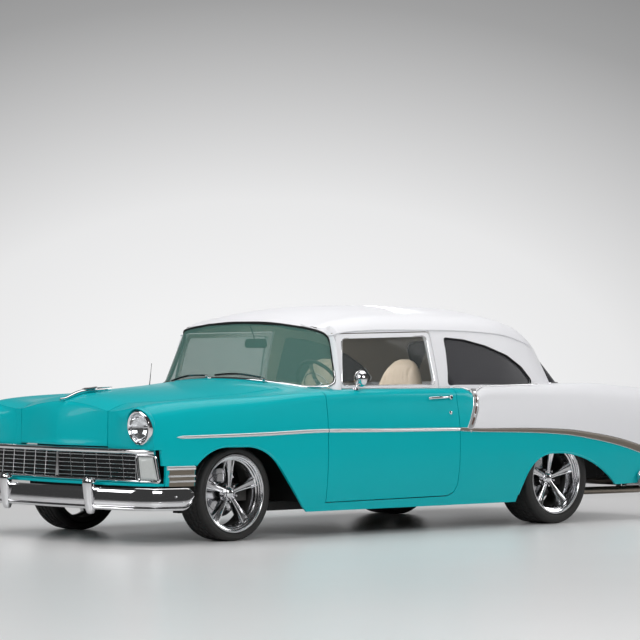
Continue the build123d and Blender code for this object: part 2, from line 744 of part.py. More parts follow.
def bumper(end):
    """Bumper at the front (end -1) or at the rear (end 1)."""
    inner = [(x - (0 if x == 0 else 0.75 * BLADE_THICK), d + BLADE_THICK) for x, d in BLADE_PLAN]
    outer_line = [(x, end * (HALF_LENGTH - d)) for x, d in BLADE_PLAN]
    inner_line = [(x, end * (HALF_LENGTH - d)) for x, d in inner]
    with BuildPart(mode=Mode.PRIVATE) as blade:
        with BuildSketch(Plane.XY.offset(BLADE_LOW_Z)):
            with BuildLine():
                for line in (outer_line, inner_line):
                    Line(line[0], line[1])
                    ThreePointArc(line[1], line[2], line[3])
                    Line(line[3], line[4])
                Line(outer_line[0], inner_line[0])
                Line(outer_line[-1], inner_line[-1])
            make_face()
        extrude(amount=BLADE_TALL)
        mirror(about=Plane.YZ)
        guard_y = end * (HALF_LENGTH - GUARD_DEEP / 2)
        with Locations(*[(side * GUARD_X, guard_y, GUARD_LOW_Z) for side in (-1, 1)]):
            Box(GUARD_WIDE, GUARD_DEEP, GUARD_TALL, align=(Align.CENTER, Align.CENTER, Align.MIN))
    return blade.part


save(bumper(-1), "front_bumper")
save(bumper(1), "rear_bumper")

# Frame: box rails with a kick-up over the rear axle, cross members, bumper irons and arms
REAR_RAIL_LOW_Z = 372.0
LOWER_BALL_Z = FRONT_TYRE_R - KINGPIN_HALF
UPPER_BALL_Z = FRONT_TYRE_R + KINGPIN_HALF
IRON_X = 395.0
IRON_HALF = 25.0
IRON_Y = HALF_LENGTH - BLADE_PLAN[1][1] - BLADE_THICK - SEAT_GAP
# low x, low y, low z, high x, high y, high z
FRAME_BOXES = [
    (FRONT_RAIL_X - RAIL_HALF, FRAME_FRONT_Y, FRONT_RAIL_LOW_Z,
     FRONT_RAIL_X + RAIL_HALF, -1290, FRONT_RAIL_TOP_Z),
    (FRONT_RAIL_X - RAIL_HALF, -1300, MID_RAIL_LOW_Z,
     MID_RAIL_X + RAIL_HALF, -1230, FRONT_RAIL_TOP_Z),
    (MID_RAIL_X - RAIL_HALF, -1240, MID_RAIL_LOW_Z,
     MID_RAIL_X + RAIL_HALF, KICK_Y + 40, FLOOR_Z - SEAT_GAP),
    (REAR_RAIL_X - RAIL_HALF, KICK_Y + SEAT_GAP, MID_RAIL_LOW_Z,
     MID_RAIL_X + RAIL_HALF, KICK_Y + 60, REAR_FLOOR_Z - SEAT_GAP),
    (REAR_RAIL_X - RAIL_HALF, KICK_Y + 30, REAR_RAIL_LOW_Z,
     REAR_RAIL_X + RAIL_HALF, REAR_RAIL_END_Y, REAR_FLOOR_Z - SEAT_GAP),
    (-1, -1300, 236, FRONT_RAIL_X, -1260, 300 - SEAT_GAP),
    (-1, KICK_Y + 4, 350, REAR_RAIL_X, KICK_Y + 50, REAR_FLOOR_Z - SEAT_GAP),
    (-1, REAR_RAIL_END_Y - 60, REAR_RAIL_LOW_Z, REAR_RAIL_X, REAR_RAIL_END_Y, REAR_FLOOR_Z - SEAT_GAP),
    (-1, FRAME_FRONT_Y, FRONT_RAIL_LOW_Z, FRONT_RAIL_X, FRAME_FRONT_Y + 50, 340),
    (-1, FRONT_AXLE_Y - 80, 200, FRONT_RAIL_X + RAIL_HALF, FRONT_AXLE_Y + 80, FRONT_RAIL_LOW_Z + 2),
    (FRONT_RAIL_X - RAIL_HALF, FRONT_AXLE_Y - 70, 360, FRONT_RAIL_X + 40, FRONT_AXLE_Y + 70, 450),
    (IRON_X - IRON_HALF, -IRON_Y, 285, IRON_X + IRON_HALF, FRAME_FRONT_Y + 100, 325),
    (REAR_RAIL_X - 120, REAR_RAIL_END_Y - 40, REAR_RAIL_LOW_Z - 60,
     REAR_RAIL_X + 25, REAR_RAIL_END_Y - 1, REAR_RAIL_LOW_Z + 30),
    (IRON_X - IRON_HALF, REAR_RAIL_END_Y - 40, 285, IRON_X + IRON_HALF, IRON_Y, 340),
]
with BuildPart() as half_frame:
    for row in FRAME_BOXES:
        add(block(row[:3], row[3:]))
    for joint_z, offset_z in ((LOWER_BALL_Z, -1), (UPPER_BALL_Z, 1)):
        arm_z = joint_z + offset_z * (SEAT_GAP + 12)
        with BuildSketch(Plane.XY.offset(arm_z - 12)):
            with BuildLine():
                Polyline(
                    (FRONT_RAIL_X - 20, FRONT_AXLE_Y - 66),
                    (KINGPIN_X, FRONT_AXLE_Y - 26),
                    (KINGPIN_X, FRONT_AXLE_Y + 26),
                    (FRONT_RAIL_X - 20, FRONT_AXLE_Y + 66),
                    close=True,
                )
            make_face()
            with Locations((KINGPIN_X, FRONT_AXLE_Y)):
                Circle(26)
        extrude(amount=24)
    add(block((FRONT_RAIL_X - 30, FRONT_AXLE_Y - 70, 155), (FRONT_RAIL_X + 30, FRONT_AXLE_Y + 70, 210)))
with BuildPart() as frame:
    add(half_frame.part)
    mirror(about=Plane.YZ)
save(frame.part, "frame")

# Floor: flat pan, tunnel, heel board, trunk floor, rear wheel houses, firewall and tank
FLOOR_HALF = 803.0
HOUSE_IN_X = 575.0
HOUSE_OUT_X = 860.0
HOUSE_R = REAR_TYRE_R + 36
HOUSE_SHEET = 8.0
with BuildPart() as firewall:
    add(block((0, FIREWALL_Y, FLOOR_Z), (775, FIREWALL_Y + FLOOR_THICK, 1100)))
    add(body_inner, mode=Mode.INTERSECT)
with BuildPart() as half_floor:
    add(block((0, FIREWALL_Y + 54, FLOOR_Z), (FLOOR_HALF, KICK_Y, FLOOR_Z + FLOOR_THICK)))
    add(block((0, FIREWALL_Y, FLOOR_Z), (775, FIREWALL_Y + 60, FLOOR_Z + FLOOR_THICK)))
    add(firewall.part)
    add(block((0, KICK_Y - FLOOR_THICK, FLOOR_Z), (775, KICK_Y, REAR_FLOOR_Z + FLOOR_THICK)))
    # low x, low y, high x, high y of the raised rear floor
    for low_x, low_y, high_x, high_y in (
        (0, KICK_Y - FLOOR_THICK, HOUSE_IN_X + 2, TAIL_Y - SKIN - SEAT_GAP),
        (HOUSE_IN_X, KICK_Y - FLOOR_THICK, 800, 890),
        (HOUSE_IN_X, 1640, 780, 2400),
    ):
        add(block((low_x, low_y, REAR_FLOOR_Z), (high_x, high_y, REAR_FLOOR_Z + FLOOR_THICK)))
    with BuildSketch(Plane.YZ.offset(HOUSE_IN_X)):
        with Locations((REAR_AXLE_Y, REAR_TYRE_R)):
            Circle(HOUSE_R + HOUSE_SHEET)
            Circle(HOUSE_R, mode=Mode.SUBTRACT)
    extrude(amount=HOUSE_OUT_X - HOUSE_IN_X)
    with BuildSketch(Plane.YZ.offset(HOUSE_IN_X)):
        with Locations((REAR_AXLE_Y, REAR_TYRE_R)):
            Circle(HOUSE_R + HOUSE_SHEET)
    extrude(amount=HOUSE_SHEET)
    add(block((500, 700, -100), (REACH, 2500, FLOOR_Z)), mode=Mode.SUBTRACT)
    add(block((HOUSE_IN_X + HOUSE_SHEET, 890, -100), (REACH, 1640, REAR_FLOOR_Z)), mode=Mode.SUBTRACT)
    add(block((HOUSE_IN_X - 1, 889, -100), (HOUSE_OUT_X + 1, 1641, REAR_FLOOR_Z)), mode=Mode.SUBTRACT)
    add(block((-1, FIREWALL_Y - 5, 0), (TUNNEL_HALF, KICK_Y + 5, TUNNEL_Z)), mode=Mode.SUBTRACT)
    add(block((TUNNEL_HALF - 1, FIREWALL_Y, FLOOR_Z), (TUNNEL_HALF + 8, KICK_Y, TUNNEL_Z)))
    add(block((0, FIREWALL_Y, TUNNEL_Z - 1), (TUNNEL_HALF + 8, KICK_Y, TUNNEL_Z + 8)))
    add(block((0, 1800, 270), (380, 2240, REAR_FLOOR_Z + 1)))
with BuildPart() as floor_pan:
    add(half_floor.part)
    mirror(about=Plane.YZ)
save(floor_pan.part, "floor_pan")

# Engine and gearbox as plain blocks, and the radiator ahead of them
ENGINE_HALF = 270.0
ENGINE_TOP_Z = 740.0
SUMP_HALF = 180.0
GEARBOX_HALF = 110.0
GEARBOX_END_Y = -520.0
RADIATOR_HALF = 320.0
RADIATOR_TOP_Z = 780.0
with BuildPart() as engine:
    add(block((-ENGINE_HALF, -1960, 420), (ENGINE_HALF, -1250, ENGINE_TOP_Z)))
    add(block((-SUMP_HALF, -1900, 300), (SUMP_HALF, -1240, 430)))
    add(block((-GEARBOX_HALF, -1250, 200), (GEARBOX_HALF, GEARBOX_END_Y, 385)))
save(engine.part, "engine")

with BuildPart() as radiator:
    add(block((-RADIATOR_HALF, -2298, 340 + SEAT_GAP), (RADIATOR_HALF, -2250, RADIATOR_TOP_Z)))
save(radiator.part, "radiator")

# Exhaust: two pipes with flat mufflers, leaving behind the rear wheels
PIPE_R = 26.0
PIPE_X = 290.0
PIPE_Z = 180.0
TAIL_PIPE_X = 640.0
MUFFLER_WIDE = 200.0
MUFFLER_TALL = 62.0
MUFFLER_LONG = 560.0
with BuildPart() as half_exhaust:
    with BuildLine():
        FilletPolyline(
            (PIPE_X, -1240, PIPE_Z),
            (PIPE_X, 1480, PIPE_Z),
            (TAIL_PIPE_X - 60, 1800, PIPE_Z + 16),
            (TAIL_PIPE_X, 2400, PIPE_Z + 16),
            radius=120,
        )
    with BuildSketch(Plane((PIPE_X, -1240, PIPE_Z), z_dir=(0, 1, 0))):
        Circle(PIPE_R)
    sweep()
    with BuildSketch(Plane((PIPE_X, -300, PIPE_Z), x_dir=(1, 0, 0), z_dir=(0, 1, 0))):
        RectangleRounded(MUFFLER_WIDE, MUFFLER_TALL, 30)
    extrude(amount=MUFFLER_LONG)
    for y in (-900, -30, 520):
        add(block((PIPE_X - 9, y, PIPE_Z), (PIPE_X + 9, y + 24, FLOOR_Z - SEAT_GAP)))
with BuildPart() as exhaust:
    add(half_exhaust.part)
    mirror(about=Plane.YZ)
save(exhaust.part, "exhaust")

# Wheels, hubs and discs
HUB_BORE_DEEP = 60.0


def wheel_profile_disc(half_width):
    """Rim, hub, spokes and brake disc about the X axis, the outer side towards +X."""
    with BuildPart(mode=Mode.PRIVATE) as rim:
        with BuildSketch(Plane.XZ):
            with BuildLine():
                Polyline(
                    (-half_width, BARREL_INNER_R + 12),
                    (-half_width, FLANGE_R),
                    (-half_width + 9, FLANGE_R),
                    (-half_width + 12, BARREL_R),
                    (half_width - 12, BARREL_R),
                    (half_width - 9, FLANGE_R),
                    (half_width, FLANGE_R),
                    (half_width, BARREL_INNER_R + 16),
                    (half_width - 20, BARREL_INNER_R),
                    (-half_width + 12, BARREL_INNER_R),
                    close=True,
                )
            make_face()
        revolve(axis=Axis.X)
        with Locations(Plane((-HUB_BACK, 0, 0), z_dir=(1, 0, 0))):
            Cylinder(HUB_R, HUB_BACK + HUB_FACE, align=(Align.CENTER, Align.CENTER, Align.MIN))
        with Locations(Plane((-55, 0, 0), z_dir=(1, 0, 0))):
            Cylinder(DISC_R, DISC_THICK, align=(Align.CENTER, Align.CENTER, Align.MIN))
        for step in range(SPOKES):
            turn = 90 + 360 * step / SPOKES
            with BuildSketch(Plane((0, 0, 0), x_dir=(0, 1, 0), z_dir=(1, 0, 0)).rotated((turn, 0, 0))):
                with BuildLine():
                    Polyline(
                        (HUB_R - 26, -SPOKE_ROOT_HALF),
                        (HUB_R - 26, SPOKE_ROOT_HALF),
                        (BARREL_INNER_R + 3, SPOKE_TIP_HALF),
                        (BARREL_INNER_R + 3, -SPOKE_TIP_HALF),
                        close=True,
                    )
                make_face()
            extrude(amount=SPOKE_THICK)
        with Locations(Plane((-HUB_BACK, 0, 0), z_dir=(1, 0, 0))):
            Cylinder(
                SPINDLE_R + SPINDLE_FIT,
                HUB_BORE_DEEP,
                align=(Align.CENTER, Align.CENTER, Align.MIN),
                mode=Mode.SUBTRACT,
            )
    return rim.part


def tyre_ring(half_width, radius):
    """Tyre about the X axis, seated on the rim's barrel between the flanges."""
    bead = half_width - 12 - SEAT_GAP
    bulge = half_width + TYRE_BULGE
    shoulder = bulge - 16
    with BuildPart(mode=Mode.PRIVATE) as tyre:
        with BuildSketch(Plane.XZ):
            with BuildLine():
                Line((-bead, BARREL_R + SEAT_GAP), (bead, BARREL_R + SEAT_GAP))
                Line((bead, BARREL_R + SEAT_GAP), (bead + 2, FLANGE_R + SEAT_GAP))
                Line((bead + 2, FLANGE_R + SEAT_GAP), (bead + 12, FLANGE_R + 3))
                ThreePointArc(
                    (bead + 12, FLANGE_R + 3),
                    (bulge, (FLANGE_R + radius) / 2),
                    (shoulder, radius - 5),
                )
                Line((shoulder, radius - 5), (shoulder - 26, radius))
                Line((shoulder - 26, radius), (-shoulder + 26, radius))
                Line((-shoulder + 26, radius), (-shoulder, radius - 5))
                ThreePointArc(
                    (-shoulder, radius - 5),
                    (-bulge, (FLANGE_R + radius) / 2),
                    (-bead - 12, FLANGE_R + 3),
                )
                Line((-bead - 12, FLANGE_R + 3), (-bead - 2, FLANGE_R + SEAT_GAP))
                Line((-bead - 2, FLANGE_R + SEAT_GAP), (-bead, BARREL_R + SEAT_GAP))
            make_face()
        revolve(axis=Axis.X)
    return tyre.part


def caliper_block(spread):
    """Brake caliper that straddles the disc's edge, about the X axis, behind the hub."""
    with BuildPart(mode=Mode.PRIVATE) as caliper:
        # low x, high x, low radius
        for low, high, radius in ((-80, -60, 96), (-61, -10, DISC_R + 6), (-28, -10, 104)):
            with BuildSketch(Plane.YZ.offset(low)):
                with BuildLine():
                    Polyline((radius, -spread), (190, -spread), (190, spread), (radius, spread),
                             close=True)
                make_face()
            extrude(amount=high - low)
    return caliper.part


def carrier(reach, kingpin):
    """Spindle with its flange and caliper, about the X axis; kingpin is its post's x, or None."""
    flange_face = -HUB_BACK - SEAT_GAP
    with BuildPart(mode=Mode.PRIVATE) as solid:
        with Locations(Plane((flange_face, 0, 0), z_dir=(-1, 0, 0))):
            Cylinder(58, reach, align=(Align.CENTER, Align.CENTER, Align.MIN))
        with Locations(Plane((flange_face - 5, 0, 0), z_dir=(1, 0, 0))):
            Cylinder(SPINDLE_R, HUB_BORE_DEEP - 2, align=(Align.CENTER, Align.CENTER, Align.MIN))
        add(caliper_block(52))
        add(block((-80, 0, -30), (flange_face - 2, 120, 30)))
        if kingpin is not None:
            with Locations((kingpin, 0, 0)):
                Cylinder(22, 2 * KINGPIN_HALF)
    return solid.part


front_rim = wheel_profile_disc(FRONT_RIM_HALF)
rear_rim = wheel_profile_disc(REAR_RIM_HALF)
front_tyre = tyre_ring(FRONT_RIM_HALF, FRONT_TYRE_R)
rear_tyre = tyre_ring(REAR_RIM_HALF, REAR_TYRE_R)
front_hub = Location((FRONT_TRACK / 2, FRONT_AXLE_Y, FRONT_TYRE_R))
rear_hub = Location((REAR_TRACK / 2, REAR_AXLE_Y, REAR_TYRE_R))
save_pair(front_hub * front_rim, "front_rim")
save_pair(rear_hub * rear_rim, "rear_rim")
save_pair(front_hub * front_tyre, "front_tyre")
save_pair(rear_hub * rear_tyre, "rear_tyre")
save_pair(front_hub * carrier(24, KINGPIN_X - FRONT_TRACK / 2), "knuckle")

# Rear axle: tube, differential, propeller shaft, leaf springs and their shackle blocks
SPRING_X = 480.0
SPRING_WIDE = 56.0
AXLE_TUBE_R = 38.0
DIFFERENTIAL_R = 120.0
SHAFT_R = 34.0
with BuildPart() as half_rear_axle:
    add(rear_hub * carrier(30, None))
    with Locations(Plane((0, REAR_AXLE_Y, REAR_TYRE_R), z_dir=(1, 0, 0))):
        Cylinder(
            AXLE_TUBE_R,
            REAR_TRACK / 2 - HUB_BACK - 20,
            align=(Align.CENTER, Align.CENTER, Align.MIN),
        )
        Cylinder(DIFFERENTIAL_R, 90, align=(Align.CENTER, Align.CENTER, Align.MIN))
    add(
        side_prism(
            [
                (700, 318),
                (REAR_AXLE_Y - 60, 252),
                (REAR_AXLE_Y + 60, 252),
                (1950, 318),
                (1950, 338),
                (REAR_AXLE_Y + 60, 275),
                (REAR_AXLE_Y - 60, 275),
                (700, 338),
            ],
            SPRING_X - SPRING_WIDE / 2,
            SPRING_X + SPRING_WIDE / 2,
        )
    )
    for y in (700, 1900):
        add(
            block(
                (SPRING_X - 24, y, 316),
                (SPRING_X + 24, y + 50, REAR_RAIL_LOW_Z - SEAT_GAP),
            )
        )
shaft_start = (0, GEARBOX_END_Y + 2 * SEAT_GAP, 292)
shaft_end = (0, REAR_AXLE_Y - 100, REAR_TYRE_R)
with BuildPart() as rear_axle:
    add(half_rear_axle.part)
    mirror(about=Plane.YZ)
    with Locations(Plane(shaft_start, z_dir=Vector(*shaft_end) - Vector(*shaft_start))):
        Cylinder(
            SHAFT_R,
            math.dist(shaft_start, shaft_end),
            align=(Align.CENTER, Align.CENTER, Align.MIN),
        )
save(rear_axle.part, "rear_axle")

# Dashboard and steering column
DASH_HALF = 770.0
COLUMN_X = 375.0
WHEEL_CENTRE = Vector(COLUMN_X, -500, 935)
COLUMN_LEAN = 28.0
column_way = Vector(0, math.cos(math.radians(COLUMN_LEAN)), math.sin(math.radians(COLUMN_LEAN)))
dash_profile = [(-930, 700), (-930, 890), (-820, 902), (-700, 880), (-672, 830), (-690, 700)]
with BuildPart() as dashboard:
    add(side_prism(dash_profile, -DASH_HALF, DASH_HALF))
    with Locations(Plane(WHEEL_CENTRE - column_way * 62, z_dir=-column_way)):
        Cylinder(26, 300, align=(Align.CENTER, Align.CENTER, Align.MIN))
    add(block((-DASH_HALF, FIREWALL_Y + FLOOR_THICK, 800), (DASH_HALF, -929, 860)))
save(dashboard.part, "dashboard")

STEERING_R = 195.0
STEERING_RING_R = 12.0
with BuildPart() as steering_wheel:
    with BuildSketch(Plane.XZ):
        with Locations((STEERING_R, 0)):
            Circle(STEERING_RING_R)
    revolve(axis=Axis.Z)
    Cylinder(34, 40)
    with Locations((0, 0, -62 + SEAT_GAP)):
        Cylinder(18, 60, align=(Align.CENTER, Align.CENTER, Align.MIN))
    for turn in (0, 120, 240):
        with BuildSketch(Plane.XY.offset(-5)):
            with Locations(Location((0, 0, 0), (0, 0, turn - 90))):
                with Locations((STEERING_R / 2, 0)):
                    Rectangle(STEERING_R, 26)
        extrude(amount=10)
wheel_plane = Plane(WHEEL_CENTRE, x_dir=(1, 0, 0), z_dir=column_way)
save(wheel_plane.location * steering_wheel.part, "steering_wheel")

# Seats
BUCKET_X = 400.0
CUSHION_HALF = 240.0
CUSHION_FRONT_Y = -370.0
CUSHION_LOW_Z = 400.0
CUSHION_TOP_Z = 520.0
BUCKET_BACK = [(110, 430), (230, 430), (345, 1120), (240, 1130)]
BENCH_HALF = 640.0
BENCH_BACK_HALF = 560.0
BENCH_TOP_Z = 560.0
with BuildPart() as bucket:
    add(
        block(
            (BUCKET_X - CUSHION_HALF, CUSHION_FRONT_Y, CUSHION_LOW_Z),
            (BUCKET_X + CUSHION_HALF, 150, CUSHION_TOP_Z),
        )
    )
    add(side_prism(BUCKET_BACK, BUCKET_X - 270, BUCKET_X + 230))
    add(
        block(
            (BUCKET_X - 200, -300, FLOOR_Z + FLOOR_THICK + SEAT_GAP),
            (BUCKET_X + 160, 100, CUSHION_LOW_Z + 1),
        )
    )
with BuildPart() as front_seats:
    add(bucket.part)
    mirror(about=Plane.YZ)
save(front_seats.part, "front_seats")

with BuildPart() as rear_seat:
    seat_low = REAR_FLOOR_Z + FLOOR_THICK + SEAT_GAP
    add(block((-BENCH_HALF, 650, seat_low), (BENCH_HALF, 915, BENCH_TOP_Z)))
    add(block((-BENCH_BACK_HALF, 900, seat_low), (BENCH_BACK_HALF, 1010, BENCH_TOP_Z)))
    for outline in (
        [(985, 555), (1100, 555), (1140, 915), (1050, 915)],
        [(980, 450), (1100, 450), (1100, BENCH_TOP_Z), (980, BENCH_TOP_Z)],
    ):
        add(side_prism(outline, -BENCH_BACK_HALF, BENCH_BACK_HALF))
save(rear_seat.part, "rear_seat")

# Mirror on the left door
MIRROR_Y = -625.0
MIRROR_FOOT_X = 862.0
MIRROR_HEAD_X = 882.0
MIRROR_HEAD_Z = 1000.0
MIRROR_R = 54.0
MIRROR_DEEP = 28.0
MIRROR_STEM_R = 7.0
with BuildPart() as door_mirror:
    with Locations((MIRROR_FOOT_X, MIRROR_Y, BELT_Z - 20)):
        Cylinder(17, 26, align=(Align.CENTER, Align.CENTER, Align.MIN))
    with BuildSketch(Plane.XY.offset(BELT_Z + 4)):
        with Locations((MIRROR_FOOT_X, MIRROR_Y)):
            Circle(MIRROR_STEM_R)
    with BuildSketch(Plane.XY.offset(BELT_Z + 66)):
        with Locations((MIRROR_HEAD_X - 2, MIRROR_Y)):
            Circle(MIRROR_STEM_R)
    loft()
    with Locations(Plane((MIRROR_HEAD_X, MIRROR_Y - 12, MIRROR_HEAD_Z), z_dir=(0, 1, 0))):
        Cylinder(MIRROR_R, MIRROR_DEEP)
    add(body_outer, mode=Mode.SUBTRACT)
save(door_mirror.part, "door_mirror")
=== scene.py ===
"""Looks of a lowered two-door sedan of the mid 1950s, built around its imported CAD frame.

Tables of places are in millimetres, as in the part's source; every mesh is in metres. The
front faces -Y, +X is the car's left side and +Z is up.
"""
import logging
import math
from dataclasses import dataclass
from enum import Enum
from typing import Iterable, Sequence

import bmesh
import bpy
import numpy as np
from mathutils import Matrix, Vector


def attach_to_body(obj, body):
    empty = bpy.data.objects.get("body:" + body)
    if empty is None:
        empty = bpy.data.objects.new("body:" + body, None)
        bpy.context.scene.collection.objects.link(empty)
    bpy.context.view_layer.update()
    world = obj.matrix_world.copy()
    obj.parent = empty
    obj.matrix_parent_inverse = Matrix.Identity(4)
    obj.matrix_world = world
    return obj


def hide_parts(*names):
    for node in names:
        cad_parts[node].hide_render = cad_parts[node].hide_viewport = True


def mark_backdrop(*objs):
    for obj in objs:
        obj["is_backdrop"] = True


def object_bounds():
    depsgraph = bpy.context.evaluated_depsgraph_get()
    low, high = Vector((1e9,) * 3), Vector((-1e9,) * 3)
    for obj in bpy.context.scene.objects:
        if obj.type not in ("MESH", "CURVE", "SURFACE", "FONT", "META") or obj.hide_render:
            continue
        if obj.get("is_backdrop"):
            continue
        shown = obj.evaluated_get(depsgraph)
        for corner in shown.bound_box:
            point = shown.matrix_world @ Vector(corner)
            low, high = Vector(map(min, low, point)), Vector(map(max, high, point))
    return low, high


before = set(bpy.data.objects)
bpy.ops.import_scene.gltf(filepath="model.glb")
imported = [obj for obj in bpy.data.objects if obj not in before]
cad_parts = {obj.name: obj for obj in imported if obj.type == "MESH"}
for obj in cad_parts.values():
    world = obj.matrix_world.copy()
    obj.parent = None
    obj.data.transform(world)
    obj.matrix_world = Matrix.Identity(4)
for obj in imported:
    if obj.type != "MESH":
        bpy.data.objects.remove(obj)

MM = 0.001
LOG = logging.getLogger("sedan")
Point = tuple[float, float, float]
Pair = tuple[float, float]
Piece = bpy.types.Object


class Side(Enum):
    """Side of the car, with the sign of its X."""

    LEFT = 1
    RIGHT = -1

    @property
    def word(self) -> str:
        """The side's name as the CAD nodes write it."""
        return self.name.lower()


class Slot(Enum):
    """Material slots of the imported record."""

    TURQUOISE = "turquoise_paint"
    WHITE = "white_paint"
    CHROME = "bright_chrome"
    ALLOY = "polished_alloy"
    TYRE = "tyre_rubber"
    CLEAR = "clear_glass"
    DARK = "dark_glass"
    LAMP = "lamp_glass"
    RED = "red_lens"
    TAN = "tan_leather"
    DASH = "dash_plastic"


class Graph:
    """Nodes and links of a tree."""

    def __init__(self, tree: bpy.types.NodeTree) -> None:
        """Take a tree's nodes and links."""
        self.nodes, self.links = tree.nodes, tree.links

    def add(self, kind: str, values: dict | None = None, **settings: object) -> bpy.types.Node:
        """Make a node.

        Args:
            kind: Blender's name of the node type.
            values: Values of inputs, by name or number.
            settings: Attributes of the node.

        Returns:
            The node.
        """
        made = self.nodes.new(kind)
        for name, value in settings.items():
            setattr(made, name, value)
        for name, value in (values or {}).items():
            made.inputs[name].default_value = value
        return made

    def join(self, *rows: tuple) -> None:
        """Make links.

        Args:
            rows: For each link a node, its output, another node and its input.
        """
        for source, output, target, entry in rows:
            self.links.new(source.outputs[output], target.inputs[entry])


@dataclass(frozen=True)
class Finish:
    """A surface finish whose small variation is read from Object coordinates.

    color and shade are linear; the noise of grain_scale blends from one to the other.
    """

    name: str
    color: tuple[float, float, float]
    shade: tuple[float, float, float]
    roughness: float
    metallic: float = 0.0
    coat: float = 0.0
    grain_scale: float = 60.0
    bump: float = 0.02
    bump_scale: float = 400.0
    rough_spread: float = 0.06
    transmission: float = 0.0
    ior: float = 1.45
    alpha: float = 1.0
    sheen: float = 0.0
    shine: float = 0.5

    def build(self) -> bpy.types.Material:
        """Make the node material, or return it if it is there already.

        Returns:
            The finished material.
        """
        made = bpy.data.materials.get(self.name)
        if made is not None:
            return made
        made = bpy.data.materials.new(self.name)
        made.use_nodes = True
        graph = Graph(made.node_tree)
        shader = graph.nodes["Principled BSDF"]
        place = graph.add("ShaderNodeTexCoord")
        grain = graph.add("ShaderNodeTexNoise", {"Scale": self.grain_scale, "Detail": 3.0})
        blend = graph.add("ShaderNodeMix", {"A": (*self.color, 1.0), "B": (*self.shade, 1.0)},
                          data_type="RGBA")
        spread = graph.add("ShaderNodeMapRange", {
            "To Min": max(0.0, self.roughness - self.rough_spread),
            "To Max": self.roughness + self.rough_spread})
        graph.join((place, "Object", grain, "Vector"), (grain, "Fac", blend, "Factor"),
                   (blend, "Result", shader, "Base Color"), (grain, "Fac", spread, "Value"),
                   (spread, "Result", shader, "Roughness"))
        if self.bump:
            fine = graph.add("ShaderNodeTexNoise", {"Scale": self.bump_scale})
            relief = graph.add("ShaderNodeBump", {"Strength": self.bump, "Distance": 0.001})
            graph.join((place, "Object", fine, "Vector"), (fine, "Fac", relief, "Height"),
                       (relief, "Normal", shader, "Normal"))
        for entry, value in (("Metallic", self.metallic), ("Coat Weight", self.coat),
                             ("Coat Roughness", 0.06), ("Transmission Weight", self.transmission),
                             ("IOR", self.ior), ("Alpha", self.alpha),
                             ("Sheen Weight", self.sheen), ("Specular IOR Level", self.shine)):
            shader.inputs[entry].default_value = value
        return made


TURQUOISE = Finish("turquoise_enamel", (0.0, 0.41, 0.45), (0.0, 0.385, 0.425), 0.34, coat=0.16,
                   grain_scale=3.0, bump=0.01, rough_spread=0.02, shine=0.12)
WHITE = Finish("white_enamel", (0.765, 0.765, 0.785), (0.74, 0.74, 0.765), 0.44, coat=0.0,
               grain_scale=3.0, bump=0.01, rough_spread=0.02, shine=0.2)
CHROME = Finish("bright_chrome_plate", (0.80, 0.80, 0.81), (0.74, 0.74, 0.76), 0.07, metallic=1.0,
                grain_scale=20.0, bump=0.0, rough_spread=0.02)
SATIN_TRIM = Finish("satin_trim", (0.17, 0.145, 0.115), (0.15, 0.128, 0.10), 0.4, metallic=0.2,
                    bump_scale=900.0)
ALLOY = Finish("polished_alloy_wheel", (0.72, 0.72, 0.73), (0.66, 0.66, 0.68), 0.16, metallic=1.0,
               bump=0.015)
RUBBER = Finish("tyre_black", (0.012, 0.012, 0.012), (0.022, 0.021, 0.02), 0.62, grain_scale=30.0,
                bump=0.10, bump_scale=1500.0)
# Black of seals, blades, knobs and dial faces; also painted shade behind the grille and along the
# roof's header.
SEAL_BLACK_AND_SHADE = Finish("black_seal", (0.008, 0.008, 0.009), (0.014, 0.014, 0.014), 0.5, bump=0.05, shine=0.2)
BRIGHT = Finish("bright_moulding", (0.82, 0.82, 0.82), (0.76, 0.76, 0.77), 0.22, metallic=0.7,
                bump=0.0)
# Black of the underside parts; on the wheels it is painted shade on the inner barrels and brake
# discs.
UNDERSIDE_BLACK_AND_SHADE = Finish("underside_black", (0.010, 0.010, 0.010), (0.022, 0.021, 0.020), 0.7,
                   grain_scale=12.0, bump=0.3, bump_scale=200.0)
CAST_IRON = Finish("cast_iron_grey", (0.05, 0.05, 0.05), (0.09, 0.085, 0.08), 0.6, metallic=0.5,
                   bump=0.4, bump_scale=300.0)
PIPE_STEEL = Finish("brushed_pipe", (0.32, 0.28, 0.23), (0.22, 0.19, 0.16), 0.35, metallic=1.0,
                    bump=0.05)
CORE_BLACK = Finish("radiator_black", (0.01, 0.01, 0.01), (0.02, 0.02, 0.02), 0.5, bump=0.2)
SCREEN = Finish("green_glass", (0.115, 0.225, 0.195), (0.11, 0.22, 0.19), 0.03, bump=0.0,
                rough_spread=0.0, alpha=0.50, shine=0.25)
PALE_GLASS = Finish("pale_glass", (0.12, 0.13, 0.13), (0.11, 0.12, 0.12), 0.03, bump=0.0,
                    rough_spread=0.0, alpha=0.20, shine=0.2)
SMOKED = Finish("smoked_glass", (0.045, 0.045, 0.05), (0.04, 0.04, 0.045), 0.03, bump=0.0,
                rough_spread=0.0, alpha=0.86, shine=0.05)
LENS = Finish("lamp_lens", (0.95, 0.96, 0.97), (0.92, 0.94, 0.95), 0.05, transmission=1.0,
              ior=1.3, bump=0.0, rough_spread=0.0)
RIBBED = Finish("ribbed_lens", (0.52, 0.54, 0.53), (0.46, 0.48, 0.47), 0.14, coat=0.5, bump=0.0)
RED = Finish("red_lamp_lens", (0.30, 0.004, 0.004), (0.22, 0.002, 0.002), 0.12, coat=0.6, bump=0.0)
DARK_RED = Finish("dark_red_enamel", (0.11, 0.055, 0.04), (0.09, 0.045, 0.032), 0.35, coat=0.2)
LEATHER = Finish("tan_hide", (0.62, 0.52, 0.40), (0.54, 0.445, 0.335), 0.52, grain_scale=45.0,
                 bump=0.5, bump_scale=520.0, sheen=0.15)
LINING = Finish("beige_lining", (0.34, 0.30, 0.24), (0.28, 0.245, 0.19), 0.8, grain_scale=150.0,
                bump=0.5, bump_scale=900.0, sheen=0.3)
